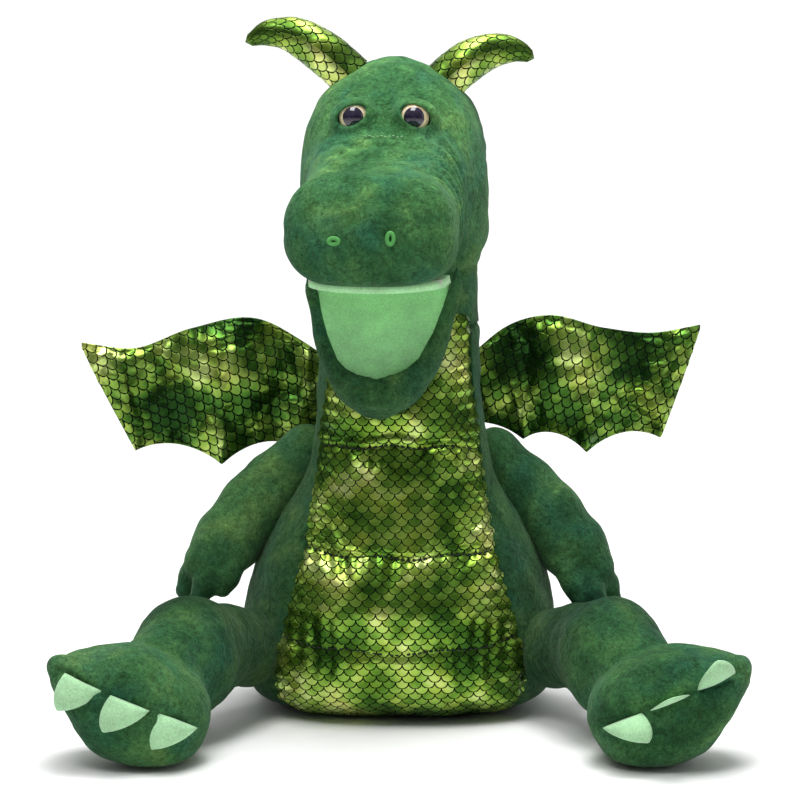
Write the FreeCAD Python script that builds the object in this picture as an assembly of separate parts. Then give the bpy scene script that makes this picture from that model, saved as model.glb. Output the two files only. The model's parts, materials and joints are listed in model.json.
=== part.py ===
import FreeCAD, Part
import math
import os

from FreeCAD import Matrix, Vector

# Seated plush dragon hand puppet. The puppet faces -Y, +Z is up, and the origin is the centre of
# the flat seat under the body. "left" means the -X side. Lengths are in millimetres.

# ---------------------------------------------------------------- driving dimensions
SKIN = 2.0                      # thickness of the plush and foil fabrics
LINING = 1.5                    # thickness of the smooth lining fabrics
GAP = 0.3                       # room between pieces that lie on each other
SWEEP_GAP = 1.2                 # room between bodies that turn against each other
SOCKET_GAP = 5.0                # room round the ball end of an arm or the tail in its socket
HIP_GAP = 8.0                   # room round the hip, which the thigh swings up into

TORSO_TOP = 262.0               # seam between body and neck
NECK_FOOT = 266.0
NECK_TOP = 312.0
# height, half width, front depth, back depth
NECK_RINGS = [(NECK_FOOT, 60, 55, 50), (289, 59, 53, 50), (NECK_TOP, 57, 50, 50)]
NECK_CHANNEL_Y = -2.0
THROAT_HALF_WIDTH = 38.0
THROAT_BACK = -20.0             # the throat panel is the part of the neck ahead of this
THUMB_SLOT_LEFT = -24.0         # the slot through the throat that the thumb goes through
THUMB_SLOT_RIGHT = 16.0
# height, half width, depth in front of the axis, depth behind the axis
TORSO_RINGS = [(0, 88, 58, 62), (9, 104, 75, 76), (32, 116, 90, 83), (62, 117, 95, 82),
               (90, 113, 92, 78), (115, 106, 86, 73), (145, 92, 77, 66), (175, 74, 69, 58),
               (203, 65, 64, 54), (232, 61, 60, 51), (TORSO_TOP, 59, 57, 50)]
SKIRT_TOP = 8.0                 # rings below this height are pulled in by the thickness inside
BELLY_HALF_WIDTHS = [(8, 74), (26, 89), (50, 90), (130, 71), (203, 55), (TORSO_TOP + 4, 46)]
BASE_TOP = 9.0                  # height where the base panel meets the side panels

ENTRY_Z = 118.0                 # centre of the hand entry in the lower back
ENTRY_HALF_WIDTH = 50.0
ENTRY_HALF_HEIGHT = 46.0
BINDING = 6.0                   # width of the bound hem round the hand entry
CHANNEL_HALF_WIDTH = 42.0       # arm channel up through body and neck
CHANNEL_HALF_DEPTH = 36.0
CHANNEL_FLOOR = 72.0
BEHIND = 140.0                  # a place well behind the body, where the entry cuts start
ENTRY_CUT = 130.0               # their length
# height, half width, half depth of the pellet bag
BEAN_RINGS = [(12, 48, 26), (20, 62, 36), (32, 62, 36), (40, 48, 26)]
BEAN_Y = -12.0

HEAD_X = -4.0                   # the head's turning axis, parallel to Z
HEAD_Y = -5.0
HEAD_YAW = -7.0                 # degrees: the nose points a little towards -X
# height, half width, front depth, back depth
CRANIUM_RINGS = [(318, 57, 57, 54), (342, 64, 62, 62), (375, 68, 66, 71), (410, 68, 66, 72),
                 (440, 64, 60, 66), (463, 52, 48, 52), (479, 32, 29, 32), (486, 10, 9, 10)]
HEAD_FOOT_FRONT = 322.0         # lower edge of the head at the front and the back
HEAD_FOOT_BACK = 337.0
HEAD_FOOT_REACH = 60.0          # half the distance between those two edges
# distance forward, half width, lowest, highest
SNOUT_RINGS = [(40, 56, 328, 436), (75, 58, 326, 424), (105, 58, 325, 411), (138, 56, 325, 402),
               (155, 49, 330, 394), (164, 34, 341, 380)]
SNOUT_BACK = 52.0               # the snout's pieces start this far ahead of the axis
MOUTH_Z = 325.0                 # underside of the upper mouth lining
BOARD = 3.0                     # thickness of the stiff mouth boards
MOUTH_HALF_WIDTH = 48.0
MOUTH_BACK = 69.0               # distance ahead of the axis to the fold of the mouth
MOUTH_SHOULDER = 103.0          # ... to where the sides of the upper plate start to curve in
MOUTH_POLE = 147.0              # ... to the poles of that curve; the lip is at 3/4 of the way
FOLD_GAP = 4.0                  # the stiff boards end this far from the fold
FINGER_Z = 346.0                # centre of the finger space above the upper board
FINGER_HALF_WIDTH = 37.0
FINGER_HALF_HEIGHT = 13.0
FINGER_FRONT = 142.0
PALM_TOP = 374.0                # top of the hand space inside the head

JAW_HINGE_Y = -70.0
JAW_HINGE_Z = 323.0
JAW_OPEN = 60.0                 # degrees that the jaw hangs below the upper mouth
# distance from the hinge, half width, depth below the mouth lining
JAW_RINGS = [(5, 54, 5), (20, 54, 14), (46, 49, 23), (70, 40, 26), (87, 27, 22), (97, 13, 14)]
JAW_TOP = 2.0                   # the jaw's plush stands this much above the mouth lining
JAW_LEAST_DEPTH = 0.8
JAW_PLATE_HALF_WIDTH = 45.0
JAW_PLATE_BACK = 6.0
JAW_PLATE_SHOULDER = 8.0
JAW_PLATE_POLE = 100.0
THUMB_HALF_WIDTH = 17.0
THUMB_HEIGHT = 13.0
THUMB_NEAR = 16.0               # distances from the hinge to the ends of the thumb space
THUMB_FAR = 66.0
THUMB_WAY_END = 50.0            # the thumb comes in from below as far as here

EYE_HALF_SPACING = 22.0
EYE_Z = 442.0
EYE_RADIUS = 10.5
PUPIL_RADIUS = 7.4
EYE_DOME_RADIUS = 13.0
EYE_FRONT = 61.0                # distance ahead of the axis to the rims of the eyes
EYE_RIM = 2.0                   # thickness of the rim under the dome
EYE_STEM_RADIUS = 3.0
EYE_STEM_END = 14.0             # distance behind the front of the rim
WASHER_RADIUS = 8.0
WASHER_THICKNESS = 1.6
WASHER_PLACE = 10.0             # distance behind the front of the rim
EYE_WELL = 46.0                 # distance ahead of the axis where the room for the eyes starts
LOOSE_FIT = 0.1

# centre line and radius: x, y, z, radius
HORN_LEFT = [(-38, -8, 458, 16), (-53, -8, 480, 15.8), (-73, -7, 496, 14.5), (-91, -6, 503, 11),
             (-106, -5, 500, 6)]
HORN_RIGHT = [(17, -8, 456, 16), (36, -8, 475, 15.5), (57, -7, 487, 14.5), (75, -6, 490, 11),
              (91, -5, 485, 6)]
ARM_LEFT = [(-72, 0, 186, 22), (-92, -3, 167, 21), (-112, -10, 144, 22), (-134, -20, 117, 23),
            (-152, -30, 96, 16)]
ARM_RIGHT = [(73, 0, 182, 21), (98, -4, 159, 20), (116, -10, 140, 22), (131, -18, 118, 22),
             (152, -30, 88, 15)]
TAIL = [(4, 92, 33, 30), (8, 118, 30, 28), (20, 146, 23, 22), (44, 170, 16, 15), (72, 184, 10, 9)]

HIP = Vector(114, -60, 47)      # right hip; the left one is its mirror image
HIP_RADIUS = 28.0
THIGH = Vector(128, -84, 51)
THIGH_RADIUS = 31.0
KNEE = Vector(146, -115, 55)
KNEE_RADIUS = 38.0
ANKLE = Vector(164, -148, 47)
ANKLE_RADIUS = 35.0
KNEE_RISE = 1.14                # the thigh is this much higher than it is wide
FOOT = Vector(186, -186, 42)
FOOT_SIZE = Vector(58, 36, 42)  # half sizes: across, front to back, up
FOOT_ROLL = 22.0                # degrees: the outer edge of each foot is turned up
TOE_SEAM_RISE = 9.0             # the toe seam is this far above the middle of the foot
CLAW_LENGTH = 25.0
CLAW_RADIUS = 13.0
CLAW_TIP_RADIUS = 1.0
CLAW_ROOT_DEPTH = 0.86          # share of the foot's half depth where the claws are sewn in
CLAW_LEAN = -0.35               # the claws point down and this much ahead
CLAW_SPREAD = 0.1
CLAW_PLACES = (-0.58, 0.0, 0.58)    # along the toe seam, as shares of the foot's half width

WING_Y = 36.0                   # middle plane of the wings
WING_WADDING = 6.0
NOSTRIL_Z = 361.0
NOSTRIL_HALF_SPACING = 20.0
NOSTRIL_RADIUS = 6.0
NOSTRIL_THREAD = 1.2            # half the thickness of the nostril stitching
# x, z: root top, then along the upper edge to the tip, then the three lower points, root foot
WING_LEFT = {"top": [(-59, 256), (-77, 270), (-108, 287), (-160, 279), (-203, 264), (-242, 270)],
             "points": [(-203, 186), (-137, 177), (-80, 188)], "foot": (-67, 202)}
WING_RIGHT = {"top": [(60, 261), (84, 281), (116, 291), (157, 281), (193, 277), (228, 284)],
              "points": [(200, 196), (145, 186), (98, 196)], "foot": (71, 208)}
SCALLOP_RISE = 10.0             # how far each lower edge arches up between two points
SMALLEST_PIECE = 15.0           # cubic millimetres; a smaller scrap of a cut is dropped
FAR = 200.0                     # beyond every piece; the size of the blocks used for cutting
TALL = 300.0
END_LIFTS = (45, 80)            # degrees round the end of a limb where its last rings lie

os.makedirs("parts", exist_ok=True)


# ---------------------------------------------------------------- shape helpers
def closed_spline(points):
    curve = Part.BSplineCurve()
    curve.interpolate(Points=points, PeriodicFlag=True)
    return Part.Wire(curve.toShape())


def squircle(share, half, power=2.4):
    """One coordinate of a rounded box outline, from a sine or cosine and a half size."""
    return half * math.copysign(abs(share) ** (2.0 / power), share)


def flat_ring(z, half_width, front, back, centre=(0.0, 0.0), count=24):
    points = []
    for step in range(count):
        turn = 2 * math.pi * step / count
        side = math.sin(turn)
        depth = front if side < 0 else back
        points.append(Vector(centre[0] + squircle(math.cos(turn), half_width),
                             centre[1] + squircle(side, depth), z))
    return closed_spline(points)


def upright_ring(y, half_width, low, high, x=0.0, count=24):
    middle = (low + high) / 2
    half_height = (high - low) / 2
    points = []
    for step in range(count):
        turn = 2 * math.pi * step / count
        points.append(Vector(x + squircle(math.cos(turn), half_width, 2.8), y,
                             middle + squircle(math.sin(turn), half_height, 2.8)))
    return closed_spline(points)


def loft(wires):
    return Part.makeLoft(wires, True, False)


def turned_ring(centre, along, radius, rise=1.0, count=16):
    """A round ring square to a direction, stretched upwards by rise."""
    along = Vector(along).normalize()
    across = along.cross(Vector(0, 0, 1))
    if across.Length < 0.2:
        across = along.cross(Vector(0, 1, 0))
    across.normalize()
    up = across.cross(along)
    points = []
    for step in range(count):
        turn = 2 * math.pi * step / count
        points.append(centre + across * (radius * math.cos(turn))
                      + up * (radius * rise * math.sin(turn)))
    return closed_spline(points)


def finer(path):
    """The same path with a station halfway along each stretch, on a smooth curve."""
    curve = Part.BSplineCurve()
    curve.interpolate([Vector(*station[:3]) for station in path])
    places = [curve.parameter(Vector(*station[:3])) for station in path]
    stations = [path[0]]
    for i in range(1, len(path)):
        middle = curve.value((places[i - 1] + places[i]) / 2)
        radius = (path[i - 1][3] + path[i][3]) / 2
        stations += [(middle.x, middle.y, middle.z, radius), path[i]]
    return stations


def stuffed_tube(path, inset=0.0, rise=1.0):
    """A limb with round ends along a path of (x, y, z, radius)."""
    centres = [Vector(*point[:3]) for point in path]
    radii = [point[3] - inset for point in path]
    tangents = []
    for i in range(len(path)):
        before = centres[max(i - 1, 0)]
        after = centres[min(i + 1, len(path) - 1)]
        tangents.append((after - before).normalize())
    wires = []
    for lift in reversed(END_LIFTS):
        shift = -radii[0] * math.sin(math.radians(lift))
        width = radii[0] * math.cos(math.radians(lift))
        wires.append(turned_ring(centres[0] + tangents[0] * shift, tangents[0], width, rise))
    for centre, tangent, radius in zip(centres, tangents, radii):
        wires.append(turned_ring(centre, tangent, radius, rise))
    for lift in END_LIFTS:
        shift = radii[-1] * math.sin(math.radians(lift))
        width = radii[-1] * math.cos(math.radians(lift))
        wires.append(turned_ring(centres[-1] + tangents[-1] * shift, tangents[-1], width, rise))
    return loft(wires)


def box(x0, x1, y0, y1, z0, z1):
    return Part.makeBox(x1 - x0, y1 - y0, z1 - z0, Vector(x0, y0, z0))


def oval_rod(centre, direction, half_a, half_b, length):
    """An oval rod along +Z or -Y from a centre; half_a is along X."""
    rod = Part.makeCylinder(1.0, length)
    rod = rod.transformGeometry(Matrix(half_a, 0, 0, 0, 0, half_b, 0, 0, 0, 0, 1, 0, 0, 0, 0, 1))
    if direction == "forward":
        rod.rotate(Vector(0, 0, 0), Vector(1, 0, 0), 90)
    rod.translate(centre)
    return rod


def save(name, shape):
    solids = sorted(shape.Solids, key=lambda solid: -solid.Volume)
    kept = [solid for solid in solids if solid.Volume > SMALLEST_PIECE]
    result = kept[0] if len(kept) == 1 else Part.makeCompound(kept)
    result.exportStep("parts/%s.step" % name)
    size = result.BoundBox
    print("%-24s solids %d  volume %9.0f  x %.0f..%.0f  y %.0f..%.0f  z %.0f..%.0f" % (
        name, len(kept), result.Volume, size.XMin, size.XMax, size.YMin, size.YMax,
        size.ZMin, size.ZMax))


# ---------------------------------------------------------------- forms shared by several pieces
def torso_form(inset):
    wires = []
    for z, half_width, front, back in TORSO_RINGS:
        height = max(z, inset) if z < SKIRT_TOP else z
        wires.append(flat_ring(height, half_width - inset, front - inset, back - inset))
    return loft(wires)


def channel_form(grow):
    """The arm space: in through the back, then up through the body."""
    up = oval_rod(Vector(0, 0, CHANNEL_FLOOR - grow), "up", CHANNEL_HALF_WIDTH + grow,
                  CHANNEL_HALF_DEPTH + grow, TORSO_TOP + 20 - CHANNEL_FLOOR)
    entry = oval_rod(Vector(0, 120, ENTRY_Z), "forward", ENTRY_HALF_WIDTH + grow,
                     ENTRY_HALF_HEIGHT + grow, 118)
    return up.fuse(entry)


def cranium_form(inset):
    wires = []
    for z, half_width, front, back in CRANIUM_RINGS:
        height = z - inset if z == CRANIUM_RINGS[-1][0] else z
        wires.append(flat_ring(height, half_width - inset, front - inset, back - inset,
                               (0.0, HEAD_Y)))
    return loft(wires)


def snout_form(inset):
    wires = []
    for ahead, half_width, low, high in SNOUT_RINGS:
        reach = ahead - inset if ahead == SNOUT_RINGS[-1][0] else ahead
        wires.append(upright_ring(HEAD_Y - reach, half_width - inset, low + inset, high - inset))
    return loft(wires)


def hand_form(grow):
    """The hand space in the head: the palm over the neck and the fingers in the snout."""
    palm = oval_rod(Vector(0, HEAD_Y, 290), "up", CHANNEL_HALF_WIDTH + grow,
                    CHANNEL_HALF_DEPTH + grow, PALM_TOP - 290 + grow)
    fingers = oval_rod(Vector(0, HEAD_Y + 10, FINGER_Z), "forward", FINGER_HALF_WIDTH + grow,
                       FINGER_HALF_HEIGHT + grow, FINGER_FRONT + 10 + HEAD_Y + grow)
    return palm.fuse(fingers)


def below_head():
    """Everything under the slanting lower edge of the head."""
    slope = math.degrees(math.atan2(HEAD_FOOT_BACK - HEAD_FOOT_FRONT, 2 * HEAD_FOOT_REACH))
    block = box(-FAR, FAR, -HEAD_FOOT_REACH, FAR, -FAR, 0)
    block.rotate(Vector(0, -HEAD_FOOT_REACH, 0), Vector(1, 0, 0), slope)
    block.translate(Vector(0, 0, HEAD_FOOT_FRONT))
    return block


def plate(half_width, near, shoulder, pole, z0, z1, grow=0.0):
    """A D-shaped mouth plate: straight at the fold, round at the lip, ahead along -Y.

    The curve depends only on the shoulder and the pole, so plates that start at different
    distances from the fold keep the same edge, and a grown one clears them all round.
    """
    wide = half_width + grow
    reach = pole + 2 * grow
    outline = Part.Wire([
        Part.makeLine(Vector(wide, -shoulder, z0), Vector(wide, 0, z0)),
        Part.makeLine(Vector(wide, 0, z0), Vector(-wide, 0, z0)),
        Part.makeLine(Vector(-wide, 0, z0), Vector(-wide, -shoulder, z0)),
        Part.BSplineCurve([Vector(-wide, -shoulder, z0), Vector(-wide, -reach, z0),
                           Vector(wide, -reach, z0), Vector(wide, -shoulder, z0)],
                          None, None, False, 3, None, False).toShape()])
    whole = Part.Face(outline).extrude(Vector(0, 0, z1 - z0))
    return whole.common(box(-wide - 1, wide + 1, -reach, grow - near, z0 - 1, z1 + 1))


def place_head(shape):
    """Move a piece drawn on the head's own middle plane to where the head is."""
    placed = shape.copy()
    placed.rotate(Vector(0, HEAD_Y, 0), Vector(0, 0, 1), HEAD_YAW)
    placed.translate(Vector(HEAD_X, 0, 0))
    return placed


def mirrored(shape):
    return shape.mirror(Vector(0, 0, 0), Vector(1, 0, 0))


# ---------------------------------------------------------------- limbs
# They are made before the body, which is cut round them.
def leg_path():
    stations = ((HIP, HIP_RADIUS), (THIGH, THIGH_RADIUS), (KNEE, KNEE_RADIUS),
                (ANKLE, ANKLE_RADIUS))
    return [(place.x, place.y, place.z, radius) for place, radius in stations]


def foot_form(inset):
    """A squashed ball, built of rings from the heel side to the toe side."""
    half = FOOT_SIZE - Vector(inset, inset, inset)
    wires = []
    for lift in (-84, -60, -30, 0, 30, 60, 84):
        shrink = math.cos(math.radians(lift))
        y = FOOT.y - half.y * math.sin(math.radians(lift))
        wires.append(upright_ring(y, half.x * shrink, FOOT.z - half.z * shrink,
                                  FOOT.z + half.z * shrink, FOOT.x))
    return loft(wires)


def make_leg(side):
    """One leg with its foot; side is left or right."""
    finish = mirrored if side == "left" else (lambda shape: shape)
    foot = foot_form(0)
    leg_outer = stuffed_tube(leg_path(), 0, KNEE_RISE)
    leg_inner = stuffed_tube(leg_path(), SKIN, KNEE_RISE)
    leg_core = stuffed_tube(leg_path(), SKIN + GAP, KNEE_RISE)
    foot_room = foot_form(-GAP)
    above_floor = box(0, 2 * FAR, -2 * FAR, FAR, 2 * GAP, TALL)
    save("leg_%s_cover" % side,
         finish(leg_outer.cut(leg_inner).cut(foot_room).common(above_floor)))
    save("leg_%s_filling" % side, finish(leg_core.cut(foot_room).common(above_floor)))
    seam = box(-FAR, FAR, -FAR, FAR, 0, FAR)
    seam.rotate(Vector(0, 0, 0), Vector(0, 1, 0), -FOOT_ROLL)
    seam.translate(FOOT + Vector(0, 0, TOE_SEAM_RISE))
    skin = foot.cut(foot_form(SKIN))
    save("foot_%s_upper" % side, finish(skin.common(seam)))
    seam_gap = seam.copy()
    seam_gap.translate(Vector(0, 0, -GAP))
    save("foot_%s_sole" % side, finish(skin.cut(seam_gap)))
    save("foot_%s_filling" % side, finish(foot_form(SKIN + GAP)))
    claws = []
    slope = math.tan(math.radians(FOOT_ROLL))
    for across in CLAW_PLACES:
        root = FOOT + Vector(FOOT_SIZE.x * across, -FOOT_SIZE.y * CLAW_ROOT_DEPTH,
                             TOE_SEAM_RISE + slope * FOOT_SIZE.x * across)
        claw = Part.makeCone(CLAW_RADIUS, CLAW_TIP_RADIUS, CLAW_LENGTH, root,
                             Vector(CLAW_SPREAD * across, CLAW_LEAN, -1))
        claws.append(claw.cut(foot_form(-GAP)))
    claws = [max(claw.Solids, key=lambda solid: solid.Volume) for claw in claws]
    save("claws_%s" % side, finish(Part.makeCompound(claws)))
    grown = stuffed_tube(leg_path(), -SWEEP_GAP, KNEE_RISE)
    socket = Part.makeSphere(HIP_RADIUS * KNEE_RISE + HIP_GAP, HIP)
    return finish(grown.fuse(socket))


def make_arm(side, path):
    outer = stuffed_tube(path)
    save("arm_%s_cover" % side, outer.cut(stuffed_tube(path, SKIN)))
    save("arm_%s_filling" % side, stuffed_tube(path, SKIN + GAP))
    socket = Part.makeSphere(path[0][3] + SOCKET_GAP, Vector(*path[0][:3]))
    return stuffed_tube(path, -SWEEP_GAP).fuse(socket)


def make_tail():
    save("tail_cover", stuffed_tube(TAIL).cut(stuffed_tube(TAIL, SKIN)))
    save("tail_filling", stuffed_tube(TAIL, SKIN + GAP))
    socket = Part.makeSphere(TAIL[0][3] + SOCKET_GAP, Vector(*TAIL[0][:3]))
    return stuffed_tube(TAIL, -SWEEP_GAP).fuse(socket)


# ---------------------------------------------------------------- torso
def belly_block():
    """The front of the body, inside the two belly seams."""
    right = [Vector(half, 0, z) for z, half in BELLY_HALF_WIDTHS]
    left = [Vector(-half, 0, z) for z, half in reversed(BELLY_HALF_WIDTHS)]
    outline = Part.makePolygon(right + left + right[:1])
    return Part.Face(outline).extrude(Vector(0, -FAR, 0))


def entry_rod(grow, longer=0.0):
    """An oval rod from behind the body into the hand entry."""
    return oval_rod(Vector(0, BEHIND + longer / 2, ENTRY_Z), "forward", ENTRY_HALF_WIDTH + grow,
                    ENTRY_HALF_HEIGHT + grow, ENTRY_CUT + longer)


def bean_form(grow):
    wires = []
    for i, (z, half, deep) in enumerate(BEAN_RINGS):
        height = z + grow * {0: -1, len(BEAN_RINGS) - 1: 1}.get(i, 0)
        wires.append(flat_ring(height, half + grow, deep + grow, deep + grow, (0.0, BEAN_Y)))
    return loft(wires)


def make_torso(limbs):
    room = limbs[0]
    for limb in limbs[1:]:
        room = room.fuse(limb)
    skin = torso_form(0).cut(torso_form(SKIN)).cut(room)
    skin = skin.cut(entry_rod(BINDING + GAP))
    channel_top = oval_rod(Vector(0, 0, TORSO_TOP - 10), "up", CHANNEL_HALF_WIDTH + LINING + GAP,
                           CHANNEL_HALF_DEPTH + LINING + GAP, 40)
    skin = skin.cut(channel_top)
    low = box(-FAR, FAR, -FAR, FAR, -FAR, BASE_TOP)
    belly = belly_block()
    above = skin.cut(box(-FAR, FAR, -FAR, FAR, -FAR, BASE_TOP + GAP))
    save("base_panel", skin.common(low))
    save("belly_panel", above.common(belly))
    belly_gap = belly.fuse(box(-GAP / 2, GAP / 2, 0, FAR, 0, TALL))
    sides = above.cut(belly_gap)
    save("torso_side_left", sides.common(box(-FAR, 0, -FAR, FAR, 0, TALL)))
    save("torso_side_right", sides.common(box(0, FAR, -FAR, FAR, 0, TALL)))

    save("bean_bag", bean_form(0))
    core = torso_form(SKIN + GAP).cut(room).cut(channel_form(LINING + GAP)).cut(bean_form(1.0))
    core = core.common(box(-FAR, FAR, -FAR, FAR, 0, TORSO_TOP - SKIN))
    save("body_filling", core)
    tube = channel_form(LINING).cut(channel_form(0)).common(torso_form(SKIN + GAP))
    save("hand_sleeve_body", tube)
    # the bound hem wraps the edge of the entry, a little proud of the plush
    hem = entry_rod(BINDING).cut(entry_rod(0, 20))
    hem = hem.common(torso_form(-1.0)).cut(torso_form(SKIN - 0.2))
    save("entry_binding", hem.common(box(-FAR, FAR, BEHIND - ENTRY_CUT, FAR, 0, TALL)))


# ---------------------------------------------------------------- neck
def make_neck():
    def neck_form(inset):
        return loft([flat_ring(z, half - inset, front - inset, back - inset)
                     for z, half, front, back in NECK_RINGS])

    def channel(grow):
        return oval_rod(Vector(0, NECK_CHANNEL_Y, NECK_FOOT - 20), "up", CHANNEL_HALF_WIDTH + grow,
                        CHANNEL_HALF_DEPTH + grow, NECK_TOP - NECK_FOOT + 60)

    thumb_way = box(THUMB_SLOT_LEFT, THUMB_SLOT_RIGHT, -90, -10, NECK_FOOT + 10, NECK_TOP + 10)
    skin = neck_form(0).cut(neck_form(SKIN))
    def throat(grow):
        side = THROAT_HALF_WIDTH + grow
        return box(-side, side, -FAR, THROAT_BACK, 0, 2 * FAR)

    save("neck_plush", skin.cut(throat(GAP)))
    save("throat_panel", skin.common(throat(0)).cut(thumb_way))
    core = neck_form(SKIN + GAP).cut(channel(LINING + GAP)).cut(thumb_way)
    save("neck_filling", core)
    sleeve = channel(LINING).cut(channel(0)).cut(thumb_way)
    save("hand_sleeve_neck", sleeve.common(box(-FAR, FAR, -FAR, FAR, NECK_FOOT, NECK_TOP)))


# ---------------------------------------------------------------- head
def horn(side, path):
    room = place_head(cranium_form(-GAP))
    stations = finer(path)
    cover = stuffed_tube(stations).cut(stuffed_tube(stations, SKIN))
    save("horn_%s_cover" % side, cover.cut(room))
    save("horn_%s_filling" % side, stuffed_tube(stations, SKIN + 2 * GAP).cut(room))


def eye_parts(x):
    """A domed eye on a stem, its pupil and the washer that locks it inside the head."""
    rim_y = HEAD_Y - EYE_FRONT
    centre_back = math.sqrt(EYE_DOME_RADIUS ** 2 - EYE_RADIUS ** 2)
    dome = Part.makeSphere(EYE_DOME_RADIUS, Vector(x, rim_y + centre_back, EYE_Z))
    forward = Vector(0, -1, 0)
    dome = dome.common(Part.makeCylinder(EYE_RADIUS, EYE_DOME_RADIUS, Vector(x, rim_y, EYE_Z),
                                         forward))
    rim = Part.makeCylinder(EYE_RADIUS, EYE_RIM, Vector(x, rim_y + EYE_RIM, EYE_Z), forward)
    stem = Part.makeCylinder(EYE_STEM_RADIUS, EYE_STEM_END - EYE_RIM,
                             Vector(x, rim_y + EYE_STEM_END, EYE_Z), forward)
    # the pupil is set into the dome from the front
    pupil_y = rim_y - EYE_RIM
    pupil_room = Part.makeCylinder(PUPIL_RADIUS + LOOSE_FIT, EYE_RADIUS,
                                   Vector(x, pupil_y, EYE_Z), forward)
    pupil = dome.common(Part.makeCylinder(PUPIL_RADIUS, EYE_RADIUS,
                                          Vector(x, pupil_y - LOOSE_FIT, EYE_Z), forward))
    eye = dome.fuse(rim).fuse(stem).cut(pupil_room)
    washer = Part.makeCylinder(WASHER_RADIUS, WASHER_THICKNESS,
                               Vector(x, rim_y + WASHER_PLACE, EYE_Z), forward)
    washer_hole = Part.makeCylinder(EYE_STEM_RADIUS + LOOSE_FIT, 3 * WASHER_THICKNESS,
                                    Vector(x, rim_y + WASHER_PLACE + WASHER_THICKNESS, EYE_Z),
                                    forward)
    washer = washer.cut(washer_hole)
    return eye, pupil, washer


def make_head():
    below = below_head()
    cranium = cranium_form(0)
    hand_room = hand_form(LINING + GAP)
    eye_room = None
    washers = []
    for side, x in (("left", -EYE_HALF_SPACING), ("right", EYE_HALF_SPACING)):
        eye, pupil, washer = eye_parts(x)
        save("eye_%s" % side, place_head(eye))
        save("pupil_%s" % side, place_head(pupil))
        washers.append(place_head(washer))
        hole = Part.makeCylinder(EYE_RADIUS + GAP, EYE_FRONT, Vector(x, HEAD_Y - EYE_WELL, EYE_Z),
                                 Vector(0, -1, 0))
        eye_room = hole if eye_room is None else eye_room.fuse(hole)
    save("eye_washers", Part.makeCompound(washers))
    cowl = cranium.cut(cranium_form(SKIN)).cut(hand_room).cut(below).cut(eye_room)
    save("head_cowl", place_head(cowl))
    core = cranium_form(SKIN + GAP).cut(hand_room).cut(below).cut(eye_room)
    save("head_filling", place_head(core))

    lid = MOUTH_Z + LINING + GAP + BOARD
    board_room = plate(MOUTH_HALF_WIDTH, MOUTH_BACK, MOUTH_SHOULDER, MOUTH_POLE,
                       MOUTH_Z - 5 * BOARD, lid + GAP, GAP)
    board_room.translate(Vector(0, HEAD_Y, 0))
    upper = box(-FAR, FAR, -FAR, 0, lid + GAP, 2 * TALL)
    core_zone = box(-FAR, FAR, -FAR, 0, lid + 2 * GAP, 2 * TALL)
    behind = box(-FAR, FAR, HEAD_Y - SNOUT_BACK, FAR, 0, 2 * TALL)
    snout = snout_form(0).cut(cranium_form(-GAP)).cut(behind)
    cover = snout.cut(snout_form(SKIN).common(upper)).cut(board_room).cut(hand_room).cut(eye_room)
    save("snout_cover", place_head(cover))
    filling = snout_form(SKIN + GAP).common(core_zone).cut(cranium_form(-GAP)).cut(behind)
    save("snout_filling", place_head(filling.cut(hand_room).cut(eye_room)))
    lining = plate(MOUTH_HALF_WIDTH, MOUTH_BACK, MOUTH_SHOULDER, MOUTH_POLE, MOUTH_Z,
                   MOUTH_Z + LINING)
    board = plate(MOUTH_HALF_WIDTH, MOUTH_BACK + FOLD_GAP, MOUTH_SHOULDER, MOUTH_POLE,
                  MOUTH_Z + LINING + GAP, lid)
    for piece in (lining, board):
        piece.translate(Vector(0, HEAD_Y, 0))
    save("upper_mouth_lining", place_head(lining))
    save("upper_mouth_board", place_head(board))
    pocket = hand_form(LINING).cut(hand_form(0)).cut(below)
    save("finger_pocket", place_head(pocket))

    loops = []
    for x in (-NOSTRIL_HALF_SPACING, NOSTRIL_HALF_SPACING):
        centre = Vector(x, HEAD_Y - SNOUT_RINGS[-1][0] - 2 * NOSTRIL_THREAD, NOSTRIL_Z)
        loop = Part.makeTorus(NOSTRIL_RADIUS, NOSTRIL_THREAD, centre, Vector(0, 1, 0))
        loops.append(place_head(loop.cut(snout_form(-GAP))))
    save("nostril_loops", Part.makeCompound(loops))
    horn("left", HORN_LEFT)
    horn("right", HORN_RIGHT)


# ---------------------------------------------------------------- jaw
def place_jaw(shape):
    """Open a jaw piece, drawn closed with its hinge at the origin, and put it on the head."""
    placed = shape.copy()
    placed.rotate(Vector(0, 0, 0), Vector(1, 0, 0), JAW_OPEN)
    placed.translate(Vector(0, JAW_HINGE_Y, JAW_HINGE_Z))
    return place_head(placed)


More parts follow.
